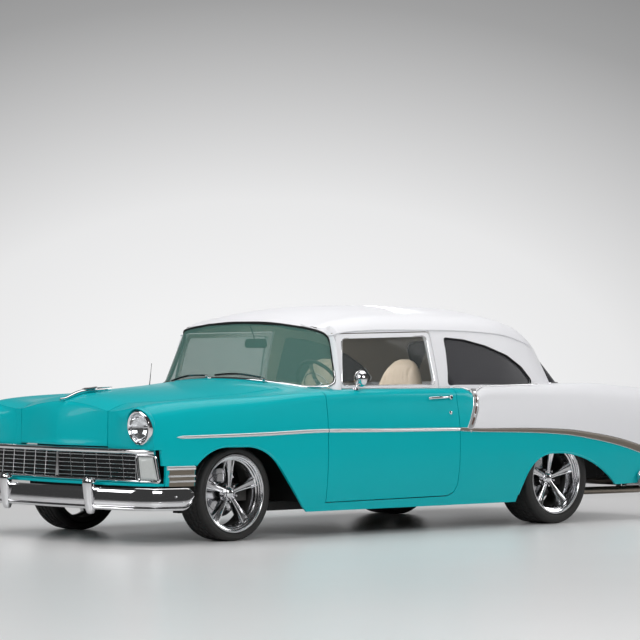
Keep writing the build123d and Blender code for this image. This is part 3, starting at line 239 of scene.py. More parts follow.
CARPET = Finish("brown_carpet", (0.12, 0.09, 0.06), (0.08, 0.06, 0.04), 0.95, grain_scale=200.0,
                bump=0.8, bump_scale=1200.0, sheen=0.4)
DASH = Finish("dash_paint", (0.30, 0.25, 0.19), (0.25, 0.21, 0.155), 0.4, coat=0.3)


def settle(values: Sequence[float], knots: Sequence[float], at: np.ndarray) -> np.ndarray:
    """Monotone cubic interpolation of a table's column, which never overshoots its rows.

    Args:
        values: The column.
        knots: The rows' places, rising.
        at: Places to read.

    Returns:
        The values there.
    """
    x, y = np.asarray(knots, float), np.asarray(values, float)
    step, slope = np.diff(x), np.diff(y) / np.diff(x)
    tangent = np.zeros_like(y)
    tangent[0], tangent[-1] = slope[0], slope[-1]
    for i in range(1, len(x) - 1):
        if slope[i - 1] * slope[i] > 0:
            w1, w2 = 2 * step[i] + step[i - 1], step[i] + 2 * step[i - 1]
            tangent[i] = (w1 + w2) / (w1 / slope[i - 1] + w2 / slope[i])
    at = np.clip(at, x[0], x[-1])
    i = np.clip(np.searchsorted(x, at) - 1, 0, len(x) - 2)
    t = (at - x[i]) / step[i]
    return (
        (1 + 2 * t) * (1 - t) ** 2 * y[i]
        + t * (1 - t) ** 2 * step[i] * tangent[i]
        + t * t * (3 - 2 * t) * y[i + 1]
        + t * t * (t - 1) * step[i] * tangent[i + 1]
    )


def arc_points(start: Pair, end: Pair, rise: float, count: int) -> np.ndarray:
    """Points on a shallow bow from start up to, not including, end."""
    a, b = np.array(start, float), np.array(end, float)
    run = b - a
    across = np.array([run[1], -run[0]]) / max(np.hypot(*run), 1e-9)
    t = np.linspace(0, 1, count, endpoint=False)[:, None]
    return a + run * t + across * rise * 4 * t * (1 - t)


def smooth_line(points: np.ndarray, passes: int, fixed: int = 1) -> np.ndarray:
    """Soften a polyline's corners; fixed points stay at each end."""
    points = points.copy()
    for _ in range(passes):
        middle = (points[:-2] + 2 * points[1:-1] + points[2:]) / 4
        points[fixed:-fixed] = middle[fixed - 1 : len(middle) - fixed + 1]
    return points


def round_corners(outline: Sequence[Pair], radius: float, steps: int = 6) -> list[Pair]:
    """Outline with each corner cut to a rounded one.

    Args:
        outline: Corners of a closed outline.
        radius: Length taken off each side of a corner, at most 45 % of a side.
        steps: Points on each rounded corner.

    Returns:
        The denser outline.
    """
    points = [np.array(p, float) for p in outline]
    made: list[Pair] = []
    for i, corner in enumerate(points):
        before, after = points[i - 1] - corner, points[(i + 1) % len(points)] - corner
        near = min(radius, 0.45 * np.hypot(*before), 0.45 * np.hypot(*after))
        a = corner + before / np.hypot(*before) * near
        b = corner + after / np.hypot(*after) * near
        for t in np.linspace(0, 1, steps):
            p = (1 - t) ** 2 * a + 2 * t * (1 - t) * corner + t * t * b
            made.append((float(p[0]), float(p[1])))
    return made


def linked(name: str, data: bpy.types.ID) -> Piece:
    """New object in the scene."""
    made = bpy.data.objects.new(name, data)
    bpy.context.scene.collection.objects.link(made)
    return made


def wire(name: str, points: Iterable[Point],
         edges: Sequence[tuple[int, int]] = ()) -> Piece:
    """Object of bare points and edges.

    Args:
        name: Its name.
        points: The points in mm.
        edges: Pairs of point numbers.

    Returns:
        The object.
    """
    mesh = bpy.data.meshes.new(name)
    mesh.from_pydata([tuple(c * MM for c in p) for p in points], list(edges), [])
    return linked(name, mesh)


def new_object(name: str, points: Iterable[Sequence[float]], faces: Iterable[Sequence[int]],
               scale: float = MM, smooth: float | None = 35.0,
               finish: Finish | None = None) -> Piece:
    """Object from points and faces with its normals outwards.

    Args:
        name: Object name.
        points: Corners, in millimetres unless scale says otherwise.
        faces: Corner numbers of each face.
        scale: Factor to metres.
        smooth: Angle in degrees above which an edge stays sharp, or None for flat faces.
        finish: Its finish, if it has one already.

    Returns:
        The linked object.
    """
    mesh = bpy.data.meshes.new(name)
    mesh.from_pydata([tuple(float(c) * scale for c in p) for p in points], [], list(faces))
    tidy_mesh(mesh)
    made = linked(name, mesh)
    shade(made, smooth)
    if finish is not None:
        made.data.materials.append(finish.build())
    return made


def tidy_mesh(mesh: bpy.types.Mesh, merge: float = 1e-6) -> None:
    """Merge doubles and turn all faces outwards."""
    edit = bmesh.new()
    edit.from_mesh(mesh)
    bmesh.ops.remove_doubles(edit, verts=edit.verts, dist=merge)
    bmesh.ops.dissolve_degenerate(edit, edges=edit.edges, dist=merge)
    bmesh.ops.recalc_face_normals(edit, faces=edit.faces)
    edit.to_mesh(mesh)
    edit.free()


def shade(piece: Piece, angle: float | None) -> None:
    """Smooth shading up to an angle, or flat for None."""
    piece.data.shade_flat() if angle is None else piece.data.shade_smooth()
    if angle is not None:
        piece.data.set_sharp_from_angle(angle=math.radians(angle))


def dress(piece: Piece, finish: Finish) -> Piece:
    """Give a piece one material."""
    piece.data.materials.clear()
    piece.data.materials.append(finish.build())
    return piece


def bake(piece: Piece) -> Piece:
    """Turn a piece and its modifiers into a plain mesh."""
    view = bpy.context.evaluated_depsgraph_get()
    mesh = bpy.data.meshes.new_from_object(piece.evaluated_get(view))
    piece.modifiers.clear()
    old = piece.data
    piece.data = mesh
    bpy.data.meshes.remove(old)
    return piece


def thickened(piece: Piece, thickness: float, offset: float = -1.0) -> Piece:
    """Give a sheet its thickness.

    Args:
        piece: The sheet.
        thickness: In metres.
        offset: -1 for inwards only, 0 for both sides alike.

    Returns:
        The same piece as a plain mesh.
    """
    wall = piece.modifiers.new("wall", "SOLIDIFY")
    wall.thickness, wall.offset = thickness, offset
    return bake(piece)


def subdivided(piece: Piece) -> Piece:
    """Subdivide a piece once."""
    fine = piece.modifiers.new("fine", "SUBSURF")
    fine.levels = fine.render_levels = 1
    return bake(piece)


def grid_faces(rows: int, columns: int, closed: bool = False, start: int = 0) -> list[list[int]]:
    """Quads of a rows by columns grid of points; closed joins the last column to the first."""
    faces = []
    for r in range(rows - 1):
        for c in range(columns if closed else columns - 1):
            d = (c + 1) % columns
            a, b = start + r * columns, start + (r + 1) * columns
            faces.append([a + c, a + d, b + d, b + c])
    return faces


def ring_faces(rings: int, count: int, closed: bool = True) -> list[list[int]]:
    """Quads between rings of points, with the last ring next to the first.

    Args:
        rings: How many rings.
        count: Points in each ring.
        closed: Whether each ring joins its end to its start.

    Returns:
        The faces, as lists of point numbers.
    """
    faces = []
    for k in range(rings):
        a, b = k * count, (k + 1) % rings * count
        for i in range(count if closed else count - 1):
            j = (i + 1) % count
            faces.append([a + i, a + j, b + j, b + i])
    return faces


def tube_of_rings(name: str, rings: Sequence[np.ndarray], smooth: float = 35.0,
                  finish: Finish | None = None) -> Piece:
    """Closed solid through rings of equal length, capped at both ends."""
    count = len(rings[0])
    points = np.concatenate(rings)
    faces = grid_faces(len(rings), count, closed=True)
    faces.append(list(range(count))[::-1])
    faces.append([len(points) - count + i for i in range(count)])
    return new_object(name, points, faces, smooth=smooth, finish=finish)


def turned(name: str, profile: Sequence[Pair], centre: Point, segments: int = 96,
           axis: Point = (1, 0, 0), smooth: float = 30.0, closed: bool = True,
           finish: Finish | None = None) -> Piece:
    """Solid of revolution.

    Args:
        name: Object name.
        profile: Places along the axis and radii, in mm; a closed outline unless closed is False.
        centre: Origin of the axis, in mm.
        segments: Number of steps round the axis.
        axis: Direction of the axis.
        smooth: Angle above which an edge stays sharp.
        closed: Whether the outline joins its end to its start.
        finish: Its finish, if it has one already.

    Returns:
        The solid.
    """
    along = Vector(axis).normalized()
    side = along.orthogonal().normalized()
    third = along.cross(side)
    points, count = [], len(profile)
    for k in range(segments):
        turn = 2 * math.pi * k / segments
        out = side * math.cos(turn) + third * math.sin(turn)
        points += [Vector(centre) + along * x + out * r for x, r in profile]
    return new_object(name, points, ring_faces(segments, count, closed), smooth=smooth,
                      finish=finish)


def prism(outline: Sequence[Pair], low: float, high: float, axis: str) -> Piece:
    """Cutter block: axis 'x' reads the outline as y and z, 'y' as x and z, and 'z' as x and y."""
    points = []
    for level in (low, high):
        for a, b in outline:
            points.append({"x": (level, a, b), "y": (a, level, b), "z": (a, b, level)}[axis])
    count = len(outline)
    faces = [list(range(count))[::-1], list(range(count, 2 * count))]
    faces += [[i, (i + 1) % count, count + (i + 1) % count, count + i] for i in range(count)]
    return new_object("cutter", points, faces, smooth=None)


def slab(low: Point, high: Point) -> Piece:
    """Cutter box between two corners."""
    return prism([(low[0], low[1]), (high[0], low[1]), (high[0], high[1]), (low[0], high[1])],
                 low[2], high[2], "z")


def carve(name: str, base: Piece, keep: Sequence[Piece] = (),
          drop: Sequence[Piece] = (), smooth: float = 30.0) -> Piece:
    """New object that is base inside every keep and outside every drop.

    Args:
        name: Name of the result.
        base: Solid to carve; it stays as it is.
        keep: Cutters to intersect with; they are removed.
        drop: Cutters to take away; they are removed.
        smooth: Angle above which an edge stays sharp.

    Returns:
        The carved piece.
    """
    made = linked(name, base.data.copy())
    for cutters, operation in ((keep, "INTERSECT"), (drop, "DIFFERENCE")):
        for cutter in cutters:
            step = made.modifiers.new("cut", "BOOLEAN")
            step.operation, step.solver, step.object = operation, "MANIFOLD", cutter
    bake(made)
    for cutter in [*keep, *drop]:
        if cutter.name == "cutter" or cutter.name.startswith("cutter."):
            bpy.data.objects.remove(cutter)
    tidy_mesh(made.data, 2e-5)
    shade(made, smooth)
    return made


def mirrored(piece: Piece, name: str) -> Piece:
    """Copy of a piece on the other side of the car."""
    mesh = piece.data.copy()
    mesh.transform(Matrix.Scale(-1, 4, (1, 0, 0)))
    mesh.flip_normals()
    return linked(name, mesh)


def joined(name: str, pieces: Sequence[Piece]) -> Piece:
    """One object from several, whose materials stay."""
    edit = bmesh.new()
    materials: list[bpy.types.Material] = []
    for piece in pieces:
        first, marks = len(edit.faces), []
        for material in piece.data.materials:
            if material not in materials:
                materials.append(material)
            marks.append(materials.index(material))
        edit.from_mesh(piece.data)
        edit.faces.ensure_lookup_table()
        for face in edit.faces[first:]:
            face.material_index = marks[face.material_index] if marks else 0
    mesh = bpy.data.meshes.new(name)
    edit.to_mesh(mesh)
    edit.free()
    for material in materials:
        mesh.materials.append(material)
    for piece in pieces:
        bpy.data.objects.remove(piece)
    return linked(name, mesh)


class Moulding:
    """Geometry Nodes trees that sweep trim along a path and set bars, nuts and bolts."""

    @staticmethod
    def _tree(name: str, inputs: Sequence[tuple[str, float]]) -> bpy.types.NodeTree:
        """Empty tree with a geometry input, number inputs and a geometry output."""
        tree = bpy.data.node_groups.new(name, "GeometryNodeTree")
        tree.interface.new_socket("Geometry", in_out="INPUT", socket_type="NodeSocketGeometry")
        for label, value in inputs:
            made = tree.interface.new_socket(label, in_out="INPUT", socket_type="NodeSocketFloat")
            made.default_value = value
        tree.interface.new_socket("Geometry", in_out="OUTPUT", socket_type="NodeSocketGeometry")
        return tree

    @staticmethod
    def _finish(tree: bpy.types.NodeTree, shown: bpy.types.NodeSocket,
                material: bpy.types.Material) -> None:
        """End the tree in Realize Instances and Set Material."""
        graph = Graph(tree)
        real = graph.add("GeometryNodeRealizeInstances")
        paint = graph.add("GeometryNodeSetMaterial", {"Material": material})
        out = graph.add("NodeGroupOutput")
        tree.links.new(shown, real.inputs["Geometry"])
        graph.join((real, "Geometry", paint, "Geometry"), (paint, "Geometry", out, "Geometry"))

    @staticmethod
    def _apply(piece: Piece, tree: bpy.types.NodeTree, values: Sequence[float]) -> None:
        """Run the tree on a piece with its inputs set, and keep the result as a plain mesh."""
        step = piece.modifiers.new("shape", "NODES")
        step.node_group = tree
        sockets = [s for s in tree.interface.items_tree if s.item_type == "SOCKET"
                   and s.in_out == "INPUT" and s.socket_type == "NodeSocketFloat"]
        for socket, value in zip(sockets, values):
            step[socket.identifier] = value
        bake(piece)

    @classmethod
    def sweep(cls, name: str, path: Sequence[Point], width: float, depth: float, finish: Finish,
              closed: bool = False, corners: int = 12) -> Piece:
        """Rounded trim strip along a path.

        Args:
            name: Object name.
            path: Points in mm.
            width: Size of the strip across, in mm.
            depth: Size of the strip up, in mm.
            finish: Its finish.
            closed: Whether the path joins up.
            corners: Corners of its round section.

        Returns:
            The strip as a plain mesh.
        """
        edges = ([(i, i + 1) for i in range(len(path) - 1)]
                 + ([(len(path) - 1, 0)] if closed else []))
        made = wire(name, path, edges)
        tree = cls._tree(f"{name}_sweep", [("Width", 0.01), ("Depth", 0.01)])
        graph = Graph(tree)
        given = graph.add("NodeGroupInput")
        line = graph.add("GeometryNodeMeshToCurve")
        ring = graph.add("GeometryNodeCurvePrimitiveCircle", {"Resolution": corners, "Radius": 0.5})
        size = graph.add("ShaderNodeCombineXYZ", {"Z": 1.0})
        shape = graph.add("GeometryNodeTransform")
        tube = graph.add("GeometryNodeCurveToMesh", {"Fill Caps": True})
        graph.join((given, "Geometry", line, "Mesh"), (given, "Width", size, "X"),
                   (given, "Depth", size, "Y"), (ring, "Curve", shape, "Geometry"),
                   (size, "Vector", shape, "Scale"), (line, "Curve", tube, "Curve"),
                   (shape, "Geometry", tube, "Profile Curve"))
        cls._finish(tree, tube.outputs["Mesh"], finish.build())
        cls._apply(made, tree, (width * MM, depth * MM))
        tidy_mesh(made.data)
        shade(made, 50)
        return made

    @classmethod
    def studs(cls, name: str, places: Sequence[Point], way: Point, radius: float, height: float,
              finish: Finish, sides: int = 6) -> Piece:
        """Bolt or nut heads at places, standing along way.

        Args:
            name: Object name.
            places: Feet of the heads, in mm.
            way: Direction that they stand in.
            radius: Head radius in mm.
            height: Head height in mm.
            finish: Their finish.
            sides: Corners of a head.

        Returns:
            All heads as one plain mesh.
        """
        made = wire(name, places)
        tree = cls._tree(f"{name}_studs", [("Radius", 0.01), ("Height", 0.01)])
        graph = Graph(tree)
        given = graph.add("NodeGroupInput")
        head = graph.add("GeometryNodeMeshCone", {"Vertices": sides})
        taper = graph.add("ShaderNodeMath", {1: 0.72}, operation="MULTIPLY")
        lean = Vector((0, 0, 1)).rotation_difference(Vector(way)).to_euler()
        spread = graph.add("GeometryNodeInstanceOnPoints", {"Rotation": lean})
        graph.join((given, "Radius", taper, 0), (taper, "Value", head, "Radius Top"),
                   (given, "Radius", head, "Radius Bottom"), (given, "Height", head, "Depth"),
                   (given, "Geometry", spread, "Points"), (head, "Mesh", spread, "Instance"))
        cls._finish(tree, spread.outputs["Instances"], finish.build())
        cls._apply(made, tree, (radius * MM, height * MM))
        shade(made, None)
        return made


def ribbon(name: str, path: Sequence[Point], ups: Sequence[Point], outs: Sequence[Point],
           widths: Sequence[float], rise: float, finish: Finish, sink: float = 2.0,
           corners: int = 7) -> Piece:
    """Half-round moulding that lies on a surface.

    Args:
        name: Object name.
        path: Middle line in mm.
        ups: Direction across the moulding at each point.
        outs: Direction away from the surface at each point.
        widths: Whole width at each point, in mm.
        rise: Height of its middle over the surface, in mm.
        finish: Its finish.
        sink: How far its foot goes into the surface.
        corners: Points on its round face.

    Returns:
        The moulding.
    """
    rings = []
    for p, u, o, w in zip(path, ups, outs, widths):
        p, u, o = Vector(p), Vector(u).normalized(), Vector(o).normalized()
        ring = [p - u * w / 2 - o * sink]
        for k in range(corners):
            turn = math.pi * k / (corners - 1)
            ring.append(p - u * (w / 2) * math.cos(turn) + o * rise * math.sin(turn))
        ring.append(p + u * w / 2 - o * sink)
        rings.append(np.array([list(c) for c in ring]))
    return tube_of_rings(name, rings, 50, finish=finish)


NOSE_Y, TAIL_Y = -2340.0, 2440.0
DOOR_Y, BELT_Z, HOOD_REAR_Y = -957.0, 936.0, -1120.0
TRUNK_Y, TRUNK_HALF, TRUNK_LOW_Z = 1900.0, 600.0, 560.0
GRILLE_TOP_Z, GAP = 580.0, 6.0
LAMP_X, LAMP_Z = 752.0, 711.0


@dataclass
class BodyForm:
    """Smooth form of the lower body, from the part's own section table.

    Columns: y, sill x, widest x, shoulder x, shoulder z, crown x, crown z, seam x, seam z,
    centre z.
    """

    rows: tuple[tuple[float, ...], ...] = (
        (NOSE_Y, 812, 864, 846, 770, 722, 843, 430, 800, 860),
        (-2200, 865, 898, 870, 785, 752, 862, 445, 848, 900),
        (-1950, 890, 917, 895, 800, 795, 879, 560, 864, 925),
        (-1450, 903, 931, 912, 825, 832, 897, 640, 905, 957),
        (-960, 906, 938, 917, 850, 866, 922, 640, 945, 992),
        (-300, 906, 940, 918, 860, 872, 936, 640, 945, 992),
        (310, 906, 940, 918, 860, 872, 936, 640, 945, 992),
        (430, 906, 940, 916, 840, 868, 906, 640, 945, 992),
        (530, 906, 939, 916, 862, 868, 944, 640, 950, 985),
        (1100, 904, 936, 912, 865, 850, 950, 640, 955, 960),
        (1600, 898, 927, 903, 862, 825, 962, 610, 952, 960),
        (2050, 880, 910, 886, 850, 800, 938, 606, 925, 936),
        (2300, 860, 890, 868, 838, 790, 914, 606, 890, 902),
        (TAIL_Y, 835, 868, 850, 825, 784, 900, 606, 830, 840),
    )
    bottom: float = 165.0
    widest_z: float = 610.0
    skin: float = 20.0
    valley: float = 9.0
    step: float = 22.0

    def row(self, y: float) -> np.ndarray:
        """The table's columns at a place along the car, smoothly between its rows."""
        table = np.array(self.rows)
        return np.array([settle(table[:, i], table[:, 0], np.array([y]))[0] for i in range(1, 10)])

    def half(self, y: float, inset: float = 0.0, bottom: float | None = None) -> np.ndarray:
        """Outline of the left half at y, from the sill up to the centre, as x and z."""
        bottom = self.bottom if bottom is None else bottom
        (sill_x, widest_x, shoulder_x, shoulder_z,
         crown_x, crown_z, seam_x, seam_z, top) = self.row(y)
        sill = (sill_x - inset, bottom)
        widest = (widest_x - inset, self.widest_z)
        shoulder = (shoulder_x - inset, shoulder_z - 0.3 * inset)
        crown = (crown_x - 0.6 * inset, crown_z - inset)
        seam = (seam_x - 0.3 * inset, seam_z - inset)
        centre = (0.0, top - inset)
        dip = self.valley * float(np.clip((-980 - y) / 200, 0, 1))
        bow = min(12.0, 0.35 * abs(top - seam_z))
        line = np.concatenate([
            arc_points(sill, widest, 12, 16), arc_points(widest, shoulder, 6, 12),
            arc_points(shoulder, crown, 18, 12), arc_points(crown, seam, -dip, 12),
            arc_points(seam, centre, bow, 16), [centre],
        ])
        both = np.concatenate([line, line[-2::-1] * (-1, 1)])
        return smooth_line(both, 3)[: len(line)]

    def solid(self, inset: float = 0.0, bottom: float | None = None) -> Piece:
        """Closed envelope of the whole lower body, drawn in by inset."""
        ys = np.arange(NOSE_Y, TAIL_Y + 1, self.step)
        ys = np.append(ys[:-1], TAIL_Y)
        rings = []
        for i, y in enumerate(ys):
            half = self.half(y, inset, bottom)
            place = y + (inset if i == 0 else -inset if i == len(ys) - 1 else 0)
            full = np.concatenate([half, half[-2::-1] * (-1, 1)])
            rings.append(np.column_stack([full[:, 0], np.full(len(full), place), full[:, 1]]))
        return tube_of_rings("envelope", rings)

    def side(self, y: float, z: float) -> Vector:
        """Point on the left side at y and z, in mm."""
        half = self.half(y)
        rising = half[: 16 + 12 + 10]
        return Vector((float(np.interp(z, rising[:, 1], rising[:, 0])), y, z))

    def side_out(self, y: float, z: float) -> Vector:
        """Direction out of the left side at y and z."""
        along = self.side(y + 12, z) - self.side(y - 12, z)
        up = self.side(y, z + 10) - self.side(y, z - 10)
        return along.cross(up).normalized()

    def top(self, x: float, y: float) -> float:
        """Height of the body's top at x and y, in mm."""
        half = self.half(y)[16 + 12 + 6:]
        return float(np.interp(abs(x), half[::-1, 0], half[::-1, 1]))


@dataclass
class CabinForm:
    """Smooth form of the cabin: y, belt x, drip rail x, drip rail z, centre z."""

    rows: tuple[tuple[float, ...], ...] = (
        (-812, 800, 706, 1262, 1366),
        (-620, 850, 752, 1302, 1432),
        (-300, 870, 766, 1316, 1474),
        (250, 872, 768, 1318, 1486),
        (750, 858, 750, 1300, 1482),
        (1100, 815, 690, 1245, 1440),
        (1350, 740, 590, 1170, 1345),
        (1530, 640, 440, 1090, 1252),
    )
    low_z: float = 860.0
    skin: float = 28.0

    def row(self, y: float) -> np.ndarray:
        """The table's columns at a place along the car."""
        table = np.array(self.rows)
        return np.array([settle(table[:, i], table[:, 0], np.array([y]))[0] for i in range(1, 5)])

    def half(self, y: float, inset: float = 0.0) -> np.ndarray:
        """Outline of the left half at y, from the belt up to the centre, as x and z."""
        belt_x, drip_x, drip_z, top_z = self.row(y)
        belt = (belt_x - inset, self.low_z)
        drip = (drip_x - inset, drip_z - 0.4 * inset)
        turn = (drip_x - 170 - 0.6 * inset, drip_z + 0.62 * (top_z - drip_z) - inset)
        centre = (0.0, top_z - inset)
        line = np.concatenate([
            arc_points(belt, drip, 12, 18), arc_points(drip, turn, 26, 16),
            arc_points(turn, centre, 14, 16), [centre],
        ])
        both = np.concatenate([line, line[-2::-1] * (-1, 1)])
        return smooth_line(both, 4)[: len(line)]

    def solid(self, inset: float = 0.0) -> Piece:
        """Closed envelope of the cabin; an inset one runs past the ends."""
        over = 1.0 if inset else 0.0
        ys = np.linspace(self.rows[0][0], self.rows[-1][0], 110)
        rings = []
        for i, y in enumerate(ys):
            half = self.half(y, inset)
            place = y - over if i == 0 else y + over if i == len(ys) - 1 else y
            full = np.concatenate([half, half[-2::-1] * (-1, 1)])
            rings.append(np.column_stack([full[:, 0], np.full(len(full), place), full[:, 1]]))
        return tube_of_rings("envelope", rings)

    def side(self, y: float, z: float) -> Vector:
        """Point on the left side window plane at y and z, in mm."""
        half = self.half(y)[:22]
        return Vector((float(np.interp(z, half[:, 1], half[:, 0])), y, z))

    def drip(self, y: float) -> Vector:
        """Point of the drip rail at y."""
        _, drip_x, drip_z, _ = self.row(y)
        return Vector((float(drip_x) - 1, y, float(drip_z)))


def arc3(a: Pair, b: Pair, c: Pair, count: int = 12) -> list[Pair]:
    """Points of the circle's arc from a through b to c."""
    (ax, ay), (bx, by), (cx, cy) = a, b, c
    d = 2 * (ax * (by - cy) + bx * (cy - ay) + cx * (ay - by))
    ux = ((ax**2 + ay**2) * (by - cy) + (bx**2 + by**2) * (cy - ay)
          + (cx**2 + cy**2) * (ay - by)) / d
    uy = ((ax**2 + ay**2) * (cx - bx) + (bx**2 + by**2) * (ax - cx)
          + (cx**2 + cy**2) * (bx - ax)) / d
    radius = math.hypot(ax - ux, ay - uy)
    t0, t1, t2 = (math.atan2(y - uy, x - ux) for x, y in (a, b, c))
    whole = (t2 - t0) % (2 * math.pi)
    if (t1 - t0) % (2 * math.pi) > whole:
        whole -= 2 * math.pi
    turns = [t0 + whole * k / count for k in range(count + 1)]
    return [(ux + radius * math.cos(t), uy + radius * math.sin(t)) for t in turns]


FRONT_ARCH = [(-2500, 480), (-2500, 50), (-1118, 50), (-1118, 166), (-1158, 201),
              *arc3((-1375, 463), (-1475, 545), (-1627, 589)),
              *arc3((-1795, 591), (-1955, 551), (-2045, 480))]
REAR_ARCH = [(815, 50), (815, 166), (832, 214), *arc3((889, 333), (985, 438), (1149, 490)),
             *arc3((1149, 490), (1480, 452), (1847, 254))[1:], (2104, 258), (2140, 352),
             (2500, 352), (2500, 50)]
DOOR_OUTLINE = [(DOOR_Y, 222), (140, 230), (196, 252), (226, 300), (236, 420), (236, 660),
                (216, 1000), (DOOR_Y, 1000)]
DOOR_BOX = [(DOOR_Y, 222), (126, 230), (196, 290), (214, 420), (214, 660), (200, 928),
            (DOOR_Y, 928)]
DOOR_FRAME = [(-757, 880), (-711, 1284), (100, 1302), (112, 880)]
DOOR_GLASS = [(-723, 952), (-677, 1257), (72, 1276), (85, 957)]
QUARTER_GLASS = [(209, 955), (238, 1266), (426, 1253), (635, 1214), (850, 1149), (1000, 1071),
                 (1092, 985), (1082, 953)]
HOOD_OUTLINE = [(-50, -2420), (427, -2420), (427, NOSE_Y), (442, -2200), (557, -1950),
                (637, -1450), (637, HOOD_REAR_Y), (-50, HOOD_REAR_Y)]
HALF_COWL = [(0, -1112), (642.7, -1112), (642.7, DOOR_Y), (855, DOOR_Y), (855, -757),
             (740, -757), (600, -842), (300, -915), (0, -950)]
SPEAR = [(-2186, 651), (-1543, 659), (-974, 673), (-365, 667), (232, 664), (433, 656),
         (844, 649), (1268, 631), (1560, 599), (1856, 552), (2068, 505), (2300, 440), (2440, 395)]
SASH_LEFT = [(389, 930), (383, 821), (354, 753), (306, 664)]


def grown(outline: Sequence[Pair], amount: float) -> list[Pair]:
    """Outline moved outwards by amount."""
    points = [np.array(p, float) for p in outline]
    area = sum(a[0] * b[1] - b[0] * a[1] for a, b in zip(points, points[1:] + points[:1]))
    turn = 1.0 if area > 0 else -1.0
    made = []
    for i, p in enumerate(points):
        before, after = p - points[i - 1], points[(i + 1) % len(points)] - p
        n1 = np.array([before[1], -before[0]]) / np.hypot(*before) * turn
        n2 = np.array([after[1], -after[0]]) / np.hypot(*after) * turn
        middle = (n1 + n2) / max(np.hypot(*(n1 + n2)), 1e-6)
        reach = amount / max(float(middle @ n1), 0.4)
        made.append((float(p[0] + middle[0] * reach), float(p[1] + middle[1] * reach)))
    return made


def both_sides(outline: Sequence[Pair]) -> list[Pair]:
    """Whole outline from its half, which starts and ends on the centre line."""
    inner = [p for p in outline if p[0] > 0.5]
    ends = [p for p in outline if p[0] <= 0.5]
    first, last = ends[0], ends[-1]
    return [(0.0, first[1]), *inner, (0.0, last[1]), *[(-x, y) for x, y in reversed(inner)]]


def attach(piece: Piece, body: str, slot: Slot, *nodes: str) -> Piece:
    """Attach a dressed piece to its body and hide the CAD nodes that it stands for.

    Args:
        piece: The piece.
        body: The CAD body that it rides on.
        slot: The record's slot; not used.
        nodes: CAD nodes that it stands for.

    Returns:
        The same piece.
    """
    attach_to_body(piece, body)
    if nodes:
        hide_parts(*nodes)
    LOG.info("%s: %d faces", piece.name, len(piece.data.polygons))
    return piece


def attach_pair(piece: Piece, name: str, bodies: str, slot: Slot, *nodes: str) -> None:
    """Attach a dressed left piece and its mirror image on the right to their bodies.

    Args:
        piece: The left piece.
        name: Name of both, without the side's word.
        bodies: The body that each rides on, with {} for the side's word.
        slot: The record's slot; not used.
        nodes: CAD nodes that they stand for, with {} for the side's word.
    """
    other = mirrored(piece, f"{name}_right")
    piece.name = f"{name}_left"
    for made, side in ((piece, Side.LEFT), (other, Side.RIGHT)):
        attach(made, bodies.format(side.word), slot, *[node.format(side.word) for node in nodes])


